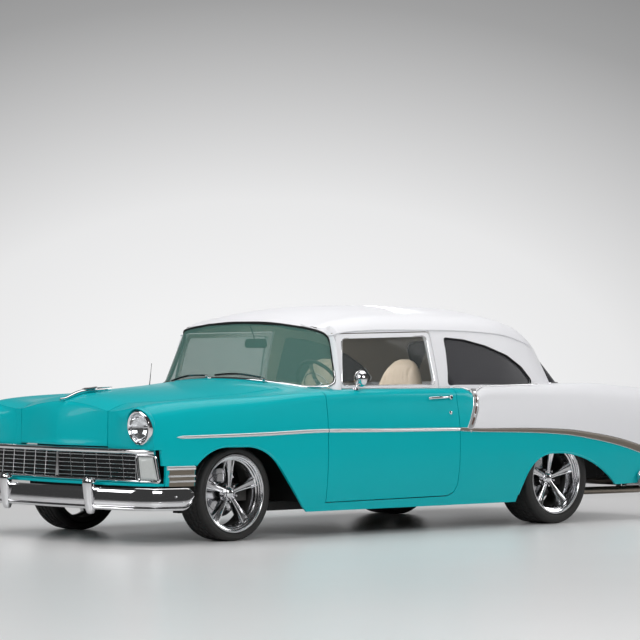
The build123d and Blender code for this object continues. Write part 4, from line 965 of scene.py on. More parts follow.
@dataclass
class Shell:
    """Smooth body panels cut from the body and cabin forms, which replace the plain CAD ones."""

    body: BodyForm
    cabin: CabinForm
    screens: Sequence["Screen"]
    far: float = 1100.0

    def build(self) -> None:
        """Cut and dress every painted panel."""
        self.outer = self.body.solid()
        inner = self.body.solid(self.body.skin, self.body.bottom - 60)
        self.skin = carve("body_skin", self.outer, drop=[inner])
        cabin_outer, cabin_inner = self.cabin.solid(), self.cabin.solid(self.cabin.skin)
        self.cabin_skin = carve("cabin_skin", cabin_outer, drop=[cabin_inner, self.outer])
        self.front()
        self.sides(inner)
        self.rear()
        self.doors(inner)
        self.roof()
        for spare in (self.outer, inner, self.skin, cabin_outer, cabin_inner, self.cabin_skin):
            bpy.data.objects.remove(spare)

    def nose(self) -> Piece:
        """Swelling front of the hood, with a shallow prow in its middle."""
        rings = []
        half_x, rows = 427.0, 22
        xs = np.linspace(-half_x, half_x, 49)
        for k in range(rows + 1):
            z = GRILLE_TOP_Z + 8 + (self.body.top(0, NOSE_Y) - 2 - GRILLE_TOP_Z - 8) * k / rows
            line = []
            for x in xs:
                top = self.body.half(NOSE_Y)
                limit = float(np.interp(abs(x), top[:-40:-1, 0], top[:-40:-1, 1])) - 1.0
                zz = min(z, limit)
                lift = max(0.0, 1 - ((max(zz, 610) - 610) / (limit - 610)) ** 2.3) ** 0.6
                s = abs(x) / half_x
                prow = 4 + 24 * (1 - s) + 29 * (0.5 + 0.5 * math.cos(math.pi * s))
                lip = 7 * math.exp(-(((zz - 600) / 14) ** 2))
                line.append((x, NOSE_Y + 1 - prow * lift - lip * (1 - s ** 4), zz))
            back = [(x, NOSE_Y + 20, p[2]) for x, p in zip(xs[::-1], line[::-1])]
            rings.append(np.array(line + back))
        return tube_of_rings("nose", rings)

    def front(self) -> None:
        """Hood with its nose, front fenders with the lamp brows, and cowl."""
        hood_plan = both_sides([(0, -2420), *[p for p in HOOD_OUTLINE if p[0] > 0],
                                (0, HOOD_REAR_Y)])
        hood = carve("hood_skin", self.skin, keep=[prism(hood_plan, 588, 1200, "z")])
        hood = joined("hood_panel", [hood, self.nose()])
        shade(hood, 30)
        attach(dress(hood, TURQUOISE), "hood", Slot.TURQUOISE, "hood")
        fender = carve(
            "fender", self.skin,
            keep=[slab((0, NOSE_Y - 10, 0), (self.far, DOOR_Y - GAP, 1200))],
            drop=[prism(grown(HOOD_OUTLINE, GAP), 0, 1600, "z"),
                  slab((-10, HOOD_REAR_Y - 20, 0), (643, 0, 1200)),
                  prism([(NOSE_Y - 20, 300), (NOSE_Y - 20, GRILLE_TOP_Z - 4),
                         (-2292, GRILLE_TOP_Z - 4),
                         (-2262, 300)], -10, self.far, "x"),
                  prism(FRONT_ARCH, 0, self.far, "x"),
                  turned("cutter", [(-60, 0), (60, 0), (60, 90), (-60, 90)],
                         (LAMP_X, NOSE_Y, LAMP_Z), 48, (0, 1, 0))],
        )
        fender = joined("fender", [fender, self.brow(), self.lip(FRONT_ARCH[5:], TURQUOISE)])
        shade(fender, 32)
        attach_pair(dress(fender, TURQUOISE), "fender", "body", Slot.TURQUOISE, "front_fender_{}")
        side = carve("apron_side", self.skin,
                     keep=[slab((840, -2258, 356), (self.far, -2052, 479.7))])
        shelf = both_sides([(0, -2438), (420, -2419), (760, -2364), (848, -2318), (868, -2262),
                            (780, -2290), (0, -2360)])
        apron = joined("apron", [side, mirrored(side, "apron_other"), prism(shelf, 356, 372, "z")])
        attach(dress(apron, TURQUOISE), "body", Slot.TURQUOISE, "front_apron")
        cowl = carve("cowl_panel", self.skin, keep=[prism(both_sides(HALF_COWL), 850, 1200, "z")])
        attach(dress(cowl, TURQUOISE), "body", Slot.TURQUOISE, "cowl")

    def brow(self) -> Piece:
        """Peaked collar that carries the fender's form forward over the headlamp."""
        centre, inner_r, steps, rows = np.array([LAMP_X, LAMP_Z]), 111.0, 72, 10
        edge = self.body.half(NOSE_Y)
        rings = []
        for k in range(steps):
            turn = 2 * math.pi * k / steps
            way = np.array([math.cos(turn), math.sin(turn)])
            inward = min(max(-float(way[0]), 0), 1)
            reach = min(168.0 + 110 * inward, 276 / max(inward, 1e-6),
                        (centre[1] - 584) / max(-float(way[1]), 1e-6))
            offset = edge - centre
            across = offset[:, 0] * way[1] - offset[:, 1] * way[0]
            ahead = offset @ way
            for i in range(len(edge) - 1):
                if across[i] * across[i + 1] <= 0 and max(ahead[i], ahead[i + 1]) > 0:
                    t = across[i] / (across[i] - across[i + 1] + 1e-12)
                    reach = min(reach, float(ahead[i] + t * (ahead[i + 1] - ahead[i])) - 0.5)
            height = max(0.0, 20 + 26 * math.sin(turn) - 14 * max(0.0, math.cos(turn)))
            outer_r = max(reach, inner_r + 6)
            line = [(inner_r - 1, 14.0)]
            for j in range(rows + 1):
                s = j / rows
                round_edge = math.sqrt(max(0.0, 1 - s * s))
                soft_edge = 0.5 + 0.5 * math.cos(math.pi * s ** 0.8)
                fall = round_edge + (soft_edge - round_edge) * min(1.0, inward * 1.6)
                line.append((inner_r + (outer_r - inner_r) * s, -height * fall - 1))
            line.append((outer_r - 8, 14.0))
            rings.append(np.array([
                (centre[0] + way[0] * r, NOSE_Y + y, centre[1] + way[1] * r) for r, y in line]))
        return new_object("brow", np.concatenate(rings), ring_faces(steps, len(rings[0])))

    def lip(self, outline: Sequence[Pair], finish: Finish) -> Piece:
        """Rolled lip along a wheel opening's edge."""
        points = [p for p in outline if p[1] > 185 and -2046 < p[0] < 1776]
        path = [tuple(self.body.side(y, z) + Vector((-2, 0, 0))) for y, z in points]
        return Moulding.sweep("arch_lip", path, 15, 15, finish)

    def upper_outline(self) -> list[Pair]:
        """Side view of the part of the quarter panel that is white."""
        lower = [(y, z - 3) for y, z in SPEAR if y > 320]
        sash = [(y + 14, z) for y, z in SASH_LEFT]
        return [*lower, (2600, 395), (2600, 1100), (sash[0][0], 1100), *sash]

    def sides(self, inner: Piece) -> None:
        """Quarter panels in two colours, with the rockers below the doors."""
        side = carve(
            "side", self.skin,
            keep=[slab((0, DOOR_Y - GAP, 0), (self.far, TAIL_Y + 10, 1200))],
            drop=[prism(grown(DOOR_OUTLINE, GAP), 0, self.far, "x"),
                  slab((-10, -1200, 600), (815, 1150, 1200)),
                  slab((-10, 0, 0), (TRUNK_HALF + GAP, TAIL_Y + 20, 1200)),
                  prism(REAR_ARCH, 0, self.far, "x")],
        )
        upper = carve("quarter_upper", side, keep=[prism(self.upper_outline(), 0, self.far, "x")])
        lower = carve("quarter_lower", side, drop=[prism(self.upper_outline(), 0, self.far, "x")])
        rocker = carve("rocker", inner,
                       keep=[slab((797, DOOR_Y - GAP, 166), (self.far, 812, 215))])
        ahead = [p for p in REAR_ARCH[2:] if p[0] < 1775]
        lower = joined("quarter_lower", [lower, rocker, self.lip(ahead, TURQUOISE)])
        attach_pair(dress(upper, WHITE), "quarter_upper", "body", Slot.WHITE, "body_side_{}")
        attach_pair(dress(lower, TURQUOISE), "quarter_lower", "body", Slot.TURQUOISE,
                    "body_side_{}")
        bpy.data.objects.remove(side)

    def rear(self) -> None:
        """Deck, trunk lid and tail panel."""
        width = TRUNK_HALF + GAP
        deck = carve("deck_panel", self.skin,
                     keep=[slab((-width, 1150, 850), (width, TRUNK_Y - 8, 1200))])
        lid = carve("trunk_panel", self.skin,
                    keep=[slab((-TRUNK_HALF, TRUNK_Y, TRUNK_LOW_Z),
                               (TRUNK_HALF, TAIL_Y + 9, 1200))])
        tail = carve("tail_skin", self.skin,
                     keep=[slab((-width, 2300, 352), (width, TAIL_Y + 10, TRUNK_LOW_Z - GAP))])
        attach(dress(deck, WHITE), "body", Slot.WHITE, "rear_deck")
        attach(dress(lid, WHITE), "trunk_lid", Slot.WHITE, "trunk_lid")
        attach(dress(tail, WHITE), "body", Slot.WHITE, "tail_panel")

    def doors(self, inner: Piece) -> None:
        """Door shells, frames round the glass, and all side glass."""
        hollow = self.body.solid(90, self.body.bottom - 60)
        box = carve("door_box", inner,
                    keep=[prism(DOOR_BOX, 700, self.far, "x")],
                    drop=[hollow, slab((700, -1200, 0), (807, 300, 1200)),
                          slab((0, -970, 850), (861, -751, 1000))])
        skin = carve("door_skin", self.skin,
                     keep=[prism(DOOR_OUTLINE, 807, self.far, "x")],
                     drop=[slab((0, -970, 850), (861, -751, 1000))])
        bpy.data.objects.remove(hollow)
        door = joined("door", [skin, box])
        attach_pair(dress(door, TURQUOISE), "door_panel", "door_{}", Slot.TURQUOISE,
                    "door_shell_{}")
        frame_piece = carve("door_frame", self.cabin_skin,
                            keep=[prism(round_corners(DOOR_FRAME, 30), 0, self.far, "x")],
                            drop=[prism(round_corners(DOOR_GLASS, 34), 0, self.far, "x")])
        attach_pair(dress(frame_piece, WHITE), "window_frame", "door_{}", Slot.WHITE,
                    "door_frame_{}")
        middle = self.cabin.skin / 2
        near, past = self.cabin.solid(middle - 3), self.cabin.solid(middle + 3)
        sheet = carve("sheet", near, drop=[past])
        pane = carve("pane", sheet, keep=[prism(grown(DOOR_GLASS, 4), 0, self.far, "x")])
        attach_pair(dress(pane, PALE_GLASS), "door_pane", "door_{}", Slot.CLEAR, "door_glass_{}")
        rear = carve("rear_pane", sheet, keep=[prism(grown(QUARTER_GLASS, 4), 0, self.far, "x")])
        rear = joined("quarter_panes", [mirrored(rear, "other"), rear])
        attach(dress(rear, SMOKED), "body", Slot.DARK, "quarter_glass")
        for spare in (near, past, sheet):
            bpy.data.objects.remove(spare)

    def roof(self) -> None:
        """Roof with its pillars."""
        door_hole = [(-1000, 800), (-1000, 1258), (-717, 1290), (114, 1308), (126, 800)]
        roof = carve("roof_panel", self.cabin_skin,
                     keep=[screen.behind() for screen in self.screens],
                     drop=[prism(door_hole, -self.far, self.far, "x"),
                           prism(round_corners(QUARTER_GLASS, 22), -self.far, self.far, "x")])
        attach(dress(roof, WHITE), "body", Slot.WHITE, "roof")
        roof.data.materials.append(LINING.build())
        roof.data.materials.append(SEAL_BLACK_AND_SHADE.build())
        for face in roof.data.polygons:
            middle = Vector((0, face.center.y, 1.0))
            if face.normal.dot(face.center - middle) < -0.02:
                face.material_index = 1
            # Lining ahead of y -0.62 m and the roof's front edge face behind the windscreen take
            # the black finish: painted shade along the windscreen's header.
            if face.material_index == 1 and face.center.y < -0.62:
                face.material_index = 2
            if face.normal.y < -0.85 and face.center.y < -0.5 and face.center.z < 1.38:
                face.material_index = 2


@dataclass
class Wheel:
    """One alloy wheel with its tyre, about the X axis, its outer side towards +X."""

    end: str
    side: Side
    centre: Point
    half_width: float
    tyre_r: float
    flange_r: float = 243.7
    barrel_r: float = 228.0
    well_r: float = 214.0
    spokes: int = 5
    tread_steps: int = 216

    def build(self) -> None:
        """Make the rim with its spokes, and the tyre with its tread."""
        rim = joined("wheel", [self.rim(), self.spoke_set(), self.hub(), self.nuts()])
        self.place(rim, Slot.ALLOY, "rim")
        self.place(self.tyre(), Slot.TYRE, "tyre")

    def place(self, piece: Piece, slot: Slot, kind: str) -> None:
        """Turn a piece to its side, set it on the axle and let it stand for its CAD node."""
        piece.name = f"{self.end}_{kind}_piece_{self.side.word}"
        if self.side is Side.RIGHT:
            piece.data.transform(Matrix.Scale(-1, 4, (1, 0, 0)))
            piece.data.flip_normals()
        piece.data.transform(Matrix.Translation(Vector(self.centre) * MM))
        attach(piece, f"wheel_{self.end}_{self.side.word}", slot,
               f"{self.end}_{kind}_{self.side.word}")

    def rim(self) -> Piece:
        """Barrel with a deep stepped lip."""
        w, f, b, i = self.half_width, self.flange_r, self.barrel_r, self.well_r
        profile = [(-w, i + 12), (-w, f - 3), (-w + 3, f), (-w + 8, f), (-w + 10, b), (w - 12, b),
                   (w - 9, f), (w - 3, f), (w, f - 2), (w, f - 9), (w - 4, f - 13),
                   (w - 10, f - 14),
                   (w - 13, b - 5), (w - 22, b - 7), (w - 25, b - 13), (w - 36, b - 15),
                   (w - 40, b - 22), (34, b - 25), (30, i - 14), (4, i - 14), (0, i - 4),
                   (-w + 12, i - 1)]
        made = turned("rim", profile, (0, 0, 0), 128, smooth=38, finish=ALLOY)
        made.data.materials.append(UNDERSIDE_BLACK_AND_SHADE.build())
        # Faces inboard of x 30 mm take the black finish: painted shade on the inner barrel, which
        # is bright alloy on the real wheel.
        for face in made.data.polygons:
            if face.center.x < 30 * MM:
                face.material_index = 1
        return made

    def spoke_set(self) -> Piece:
        """Tapered spokes with a ridge along each, set round the hub by geometry nodes."""
        rings = []
        rise = self.half_width - 99
        for r, half, ridge, foot in ((28, 16, 48, 8), (60, 16, 50, 8), (110, 21, 54, 10),
                                     (160, 28, 58, 14), (200, 36, 62, 14), (214, 42, 62, 2)):
            top = ridge + rise * r / 214
            rings.append(np.array([
                (foot, -half, r), (top - 14, -half, r), (top - 1, -half * 0.78, r),
                (top, -half * 0.55, r), (top - 9, -half * 0.30, r), (top - 9, half * 0.30, r),
                (top, half * 0.55, r), (top - 1, half * 0.78, r), (top - 14, half, r),
                (foot, half, r)]))
        spoke = tube_of_rings("spoke", rings, 25)
        made = wire("spokes", [(0, 0, 0)] * self.spokes)
        tree = Moulding._tree("spoke_ring", [("Turn", 0.0)])
        graph = Graph(tree)
        given = graph.add("NodeGroupInput")
        source = graph.add("GeometryNodeObjectInfo", {"Object": spoke})
        number = graph.add("GeometryNodeInputIndex")
        turn = graph.add("ShaderNodeMath", {1: 2 * math.pi / self.spokes}, operation="MULTIPLY")
        whole = graph.add("ShaderNodeMath", operation="ADD")
        angle = graph.add("ShaderNodeCombineXYZ")
        spread = graph.add("GeometryNodeInstanceOnPoints")
        graph.join((number, "Index", turn, 0), (turn, "Value", whole, 0), (given, "Turn", whole, 1),
                   (whole, "Value", angle, "X"), (given, "Geometry", spread, "Points"),
                   (source, "Geometry", spread, "Instance"), (angle, "Vector", spread, "Rotation"))
        Moulding._finish(tree, spread.outputs["Instances"], ALLOY.build())
        Moulding._apply(made, tree, (0.0,))
        bpy.data.objects.remove(spoke)
        shade(made, 25)
        return made

    def hub(self) -> Piece:
        """Hub, domed cap and brake disc behind the spokes."""
        profile = [(-60, 22.4), (-60, 66), (-55, 66), (-55, 150), (-44, 150), (-44, 120),
                   (-40, 118), (-40, 70), (22, 68), (30, 64), (34, 40), (47, 38), (50, 34),
                   (58, 31), (60, 28), (66, 20), (69, 10), (70, 0), (0, 0), (0, 22.4)]
        made = turned("hub", profile, (0, 0, 0), 64, smooth=32, finish=ALLOY)
        made.data.materials.append(UNDERSIDE_BLACK_AND_SHADE.build())
        # Faces behind x -48 mm, the brake disc, take the black finish: painted shade on a disc that
        # is grey iron on the real wheel.
        for face in made.data.polygons:
            if face.center.x < -48 * MM:
                face.material_index = 1
        return made

    def nuts(self) -> Piece:
        """Wheel nuts between the spokes."""
        places = []
        for k in range(self.spokes):
            turn = 2 * math.pi * (k + 0.5) / self.spokes
            places.append((37, 53 * math.sin(turn), 53 * math.cos(turn)))
        return Moulding.studs("wheel_nuts", places, (1, 0, 0), 10, 20, CHROME)

    def tyre(self) -> Piece:
        """Tyre with ribs, tread blocks and a raised ring on its side wall."""
        bead, bulge, top = self.half_width - 12.3, self.half_width + 10, self.tyre_r
        low, mid = self.flange_r + 0.5, (self.flange_r + self.tyre_r) / 2
        side = [(bead, self.barrel_r + 0.3), (bead + 2, low), (bead + 12, low + 4),
                (bulge - 4, low + 12), (bulge - 1.5, low + 16), (bulge - 1.2, low + 19),
                (bulge - 2.2, low + 21), (bulge, mid + 2), (bulge - 2, top - 16),
                (bulge - 7, top - 9), (bulge - 14, top - 4), (bulge - 22, top - 1.5)]
        tread, x, edge = [], bulge - 30, bulge - 30
        grooves = [0.72, 0.25, -0.25, -0.72]
        tread.append((x, top - 0.8, True))
        for g in grooves:
            gx = g * edge
            tread += [(gx + 6, top, True), (gx + 4, top - 6, False), (gx - 4, top - 6, False),
                      (gx - 6, top, True)]
        tread.append((-x, top - 0.8, True))
        profile = [(a, r, False) for a, r in side] + tread
        profile += [(-a, r, False) for a, r in reversed(side)]
        points = []
        for k in range(self.tread_steps):
            turn = 2 * math.pi * k / self.tread_steps
            for i, (a, r, block) in enumerate(profile):
                sipe = 4.5 if block and (k + (i // 4) * 2) % 6 == 0 else 0.0
                points.append((a, (r - sipe) * math.cos(turn), (r - sipe) * math.sin(turn)))
        faces = ring_faces(self.tread_steps, len(profile))
        return new_object("tyre", points, faces, smooth=35, finish=RUBBER)


def build_wheels() -> None:
    """All four wheels."""
    for end, hub_x, hub_y, tyre_r, half in (("front", 736.5, -1658.0, 294.0, 99.0),
                                            ("rear", 747.0, 1263.0, 310.0, 126.0)):
        for side in Side:
            Wheel(end, side, (side.value * hub_x, hub_y, tyre_r), half, tyre_r).build()


@dataclass
class Bumper:
    """Wrapped chrome bumper with an upper crown, a lower shelf and two upright guards."""

    end: int
    low_z: float = 212.0
    tall: float = 132.0
    half_length: float = 2508.5
    plan: tuple[Pair, ...] = ((0, 14), (420, 34), (600, 60), (780, 112), (880, 186), (920, 300),
                              (932, 432))
    guard_x: float = 415.0

    def line(self, draw: float) -> list[Pair]:
        """Half of the plan line, drawn in by draw, from the middle outwards."""
        xs = np.array([p[0] for p in self.plan], float)
        ds = np.array([p[1] for p in self.plan], float)
        t = np.linspace(0, 1, 44)
        knots = np.linspace(0, 1, len(xs))
        x, d = settle(xs, knots, t), settle(ds, knots, t)
        dx, dd = np.gradient(x), np.gradient(d)
        run = np.hypot(dx, dd)
        x, d = x - dd / run * draw, d + dx / run * draw
        return [(float(a), self.end * (self.half_length - float(b))) for a, b in zip(x, d)]

    def blade(self) -> Piece:
        """Swelling face bar with rolled edges, lower at its middle than at its wings."""
        section = [(26, 0.0), (12, -0.02), (3, 0.02), (0, 0.08), (3, 0.14), (8, 0.17), (6, 0.21),
                   (2, 0.26), (1, 0.34), (3, 0.55), (6, 0.78), (9, 0.88), (14, 0.96), (20, 1.0),
                   (26, 0.99)]
        lines = [self.line(draw) for draw, _ in section]
        rings = []
        count = len(lines[0])
        order = [*range(count - 1, 0, -1), *range(count)]
        for n, k in enumerate(order):
            sign = -1 if n < count - 1 else 1
            ring = []
            for (draw, up), line in zip(section, lines):
                x, y = line[k]
                ring.append((sign * x, y, self.height(k, count, up)))
            rings.append(np.array(ring))
        return tube_of_rings("blade", rings, 40, finish=CHROME)

    def height(self, step: int, count: int, up: float) -> float:
        """Height on the face, whose lower corner is rounded at the wing's tip."""
        left = (count - 1 - step) * 19.0
        foot = 1 - math.sqrt(max(0.0, 1 - (1 - min(left / 78, 1)) ** 2))
        head = 1 - math.sqrt(max(0.0, 1 - (1 - min(left / 26, 1)) ** 2))
        low, top = self.low_z + 78 * foot, self.low_z + self.tall - 22 * head
        return low + (top - low) * up

    def guard(self, x: float) -> Piece:
        """Upright guard with a rounded leaning head."""
        rings = []
        front = self.end * (self.half_length - 1)
        for z, half, deep, lean in ((179, 16, 18, 40), (185, 26, 30, 32), (205, 31, 44, 24),
                                    (260, 34, 52, 14), (320, 37, 58, 6), (362, 40, 62, 1),
                                    (386, 40, 62, 1), (398, 33, 54, 8), (402, 18, 34, 20)):
            ring = []
            for k in range(20):
                turn = 2 * math.pi * k / 20
                c, s = math.cos(turn), math.sin(turn)
                fx = math.copysign(abs(c) ** 0.55, c) * half
                fy = math.copysign(abs(s) ** 0.55, s) * deep / 2
                ring.append((x + fx, front - self.end * (deep / 2 + lean) + fy, z))
            rings.append(np.array(ring))
        return tube_of_rings("guard", rings, 40, finish=CHROME)

    def build(self) -> None:
        """Blade, guards and bolts as one piece that stands for the CAD bumper."""
        word = "front" if self.end < 0 else "rear"
        pieces = [self.blade(), self.guard(self.guard_x), self.guard(-self.guard_x)]
        places = []
        for k in (30, 36, 39):
            x, y = self.line(0)[k]
            z = self.low_z + self.tall * (0.34 if k != 36 else 0.62)
            places += [(x, y, z), (-x, y, z)]
        pieces.append(Moulding.studs(f"{word}_bolts", places, (0, self.end, 0), 6, 9, CHROME, 12))
        attach(joined(f"{word}_bumper_piece", pieces), "body", Slot.CHROME, f"{word}_bumper")


@dataclass
class Grille:
    """Pointed egg-crate grille with its frame, parking lamps and the bars beside it."""

    half: float = 842.0
    low_z: float = 372.3
    high_z: float = 579.7
    point_y: float = -2395.0
    end_y: float = -2344.0
    columns: int = 6
    rows: int = 6
    lamp_from: float = 706.0

    def front(self, x: float) -> float:
        """Place of the grille's front plane at x."""
        wrap = max(0.0, abs(x) - 690) / 150
        return self.point_y + (self.end_y - self.point_y) * abs(x) / self.half + 34 * wrap ** 2

    def crate(self) -> Piece:
        """Rows and columns of bars on each half, instanced along lines by geometry nodes."""
        lines: list[tuple[Point, Point]] = []
        low, high = self.low_z + 24, self.high_z - 32
        for k in range(self.rows):
            z = low + (high - low) * (k + 0.5) / self.rows
            for s in (-1, 1):
                lines.append(((0, self.front(0) + 8, z),
                              (s * self.lamp_from, self.front(self.lamp_from) + 8, z)))
        for k in range(self.columns + 1):
            top = self.lamp_from * k / self.columns
            foot = min(top + 16, self.lamp_from)
            for s in (-1, 1):
                lines.append(((s * foot, self.front(foot) + 5, low),
                              (s * top, self.front(top) + 5, high)))
        made = wire("crate", [p for line in lines for p in line],
                    [(2 * i, 2 * i + 1) for i in range(len(lines))])
        tree = Moulding._tree("crate_bars", [("Bar", 0.005)])
        graph = Graph(tree)
        given = graph.add("NodeGroupInput")
        line = graph.add("GeometryNodeMeshToCurve")
        ring = graph.add("GeometryNodeCurvePrimitiveCircle", {"Resolution": 8})
        tube = graph.add("GeometryNodeCurveToMesh", {"Fill Caps": True})
        graph.join((given, "Geometry", line, "Mesh"), (given, "Bar", ring, "Radius"),
                   (line, "Curve", tube, "Curve"), (ring, "Curve", tube, "Profile Curve"))
        Moulding._finish(tree, tube.outputs["Mesh"], CHROME.build())
        Moulding._apply(made, tree, (0.0028,))
        shade(made, 50)
        return made

    def rail(self, z: float, tall: float, out: float, reach: float) -> Piece:
        """Horizontal chrome rail that follows the grille's point."""
        path = [(x, self.front(x) + 3, z) for x in np.linspace(-reach, reach, 33)]
        return ribbon("rail", path, [(0, 0, 1)] * 33, [(0, -1, 0)] * 33, [tall] * 33, out, CHROME,
                      sink=10)

    def frame_end(self, sign: int) -> Piece:
        """Chrome loop round one parking lamp."""
        x0, x1 = self.lamp_from + 4, self.half - 4
        low, high = self.low_z + 8, self.high_z - 36
        loop = round_corners([(x0 + 26, low), (x1 + 30, low), (x1 + 4, high), (x0, high)], 22)
        path = [(sign * x, self.front(x) + 2, z) for x, z in loop]
        return Moulding.sweep(f"lamp_loop_{'left' if sign > 0 else 'right'}", path, 17, 17, CHROME,
                              closed=True)

    def lamp(self, sign: int) -> Piece:
        """Ribbed parking lamp lens inside its loop."""
        x0, x1 = self.lamp_from + 18, self.half - 16
        low, high = self.low_z + 20, self.high_z - 48
        points = []
        columns, rows = 13, 9
        for r in range(rows):
            for c in range(columns):
                u, v = c / (columns - 1), r / (rows - 1)
                x = x0 + 20 * (1 - v) + (x1 - x0 + 8 * (1 - v)) * u
                swell = 10 * (1 - (2 * u - 1) ** 4) * (1 - (2 * v - 1) ** 4)
                ridge = 1.6 if c % 2 else 0.0
                points.append((sign * x, self.front(x) + 4 - swell - ridge, low + (high - low) * v))
        faces = grid_faces(rows, columns)
        made = new_object(f"park_lens_{'left' if sign > 0 else 'right'}", points, faces, smooth=20)
        thickened(made, 0.004)
        made.data.materials.append(RIBBED.build())
        return made

    def bed(self) -> Piece:
        """Black sheet behind the bars and the lamps: painted shade where the space behind the
        grille lies in shadow.
        """
        xs = np.linspace(-self.half + 3, self.half - 3, 41)
        outline = [(x, self.front(x) + 26) for x in xs]
        rings = []
        for z in (self.low_z, self.high_z):
            rings.append(np.array([(x, y, z) for x, y in outline]
                                  + [(x, y + 5, z) for x, y in outline[::-1]]))
        return tube_of_rings("grille_bed", rings, finish=SEAL_BLACK_AND_SHADE)

    def build(self) -> None:
        """The whole grille as one piece, with its lenses."""
        pieces = [self.crate(), self.bed(), self.rail(self.high_z - 17, 34, 13, self.half - 4),
                  self.rail(self.low_z + 11, 20, 9, self.half - 20),
                  self.frame_end(1), self.frame_end(-1)]
        centre = ribbon("centre_bar", [(0, self.point_y + 4, z) for z in (400, 470, 545)],
                        [(1, 0, 0)] * 3, [(0, -1, 0)] * 3, [16] * 3, 4, CHROME, sink=14)
        pieces.append(centre)
        attach(joined("grille_piece", pieces), "body", Slot.CHROME, "grille")
        attach(self.lamp(1), "body", Slot.LAMP)
        attach(self.lamp(-1), "body", Slot.LAMP)


@dataclass
class Lamps:
    """Headlamps and tail lamps."""

    x: float = LAMP_X
    z: float = LAMP_Z
    face_y: float = NOSE_Y + 4
    lean: Point = (0, -1, -0.11)

    def headlamp(self, side: Side) -> None:
        """Chrome ring, reflector bowl and domed lens of one headlamp."""
        centre = (side.value * self.x, self.face_y, self.z)
        ring = turned("ring", [(-2, 86), (22, 86), (29, 88), (35, 92), (36, 97), (32, 104),
                               (20, 109), (-2, 110)], centre, 72, self.lean, finish=CHROME)
        bowl = turned("bowl", [(18, 86), (0, 80), (-24, 56), (-38, 26), (-42, 0), (-46, 0),
                               (-42, 30), (-28, 62), (-4, 89), (18, 89)], centre, 72, self.lean,
                      finish=CHROME)
        bulb = turned("bulb", [(-40, 0), (-40, 9), (-14, 9), (-6, 6), (-4, 0)], centre, 24,
                      self.lean, closed=False, finish=CHROME)
        attach(joined(f"headlamp_ring_{side.word}", [ring, bowl, bulb]), "body", Slot.CHROME,
               "headlamps")
        rings = 15
        outside = [(20 + 20 * math.cos(math.pi / 2 * r / 86), r) for r in np.linspace(0, 86, rings)]
        inside = [(x - 4, r) for x, r in reversed(outside)]
        lens = turned(f"headlamp_lens_{side.word}", outside + inside, centre, 72, self.lean,
                      finish=LENS)
        attach(lens, "body", Slot.LAMP)

    def tail_lamp(self, side: Side) -> None:
        """Chrome pod with a red dome and a clear reversing lens on the quarter's end."""
        x, z, face = side.value * 790.0, 770.0, TAIL_Y + 0.3
        outline = round_corners([(x - 47, z - 94), (x + 47, z - 94), (x + 47, z + 94),
                                 (x - 47, z + 94)], 44, 10)
        rings = []
        for out, draw in ((0, 0), (18, 0), (27, 5), (31, 13), (27, 19), (22, 20)):
            ring = []
            for a, b in outline:
                ring.append((x + (a - x) * (1 - draw / 47), face + out,
                             z + (b - z) * (1 - draw / 94)))
            rings.append(np.array(ring))
        pod = tube_of_rings("pod", rings, 40, finish=CHROME)
        attach(joined(f"tail_pod_{side.word}", [pod]), "body", Slot.CHROME, "tail_lamps")
        for name, finish, slot, centre_z, radius in (("red", RED, Slot.RED, z + 42, 31),
                                                     ("clear", LENS, Slot.LAMP, z - 44, 26)):
            profile = [(18, 0), (18, radius), (22, radius)]
            profile += [(22 + 11 * math.cos(t), radius * math.sin(t))
                        for t in np.linspace(math.pi / 2, 0, 9)]
            lens = turned(f"tail_lens_{name}_{side.word}", profile, (x, face, centre_z), 40,
                          (0, 1, 0), closed=False, finish=finish)
            attach(lens, "body", slot)

    def build(self) -> None:
        """All lamps on both sides."""
        for side in Side:
            self.headlamp(side)
            self.tail_lamp(side)


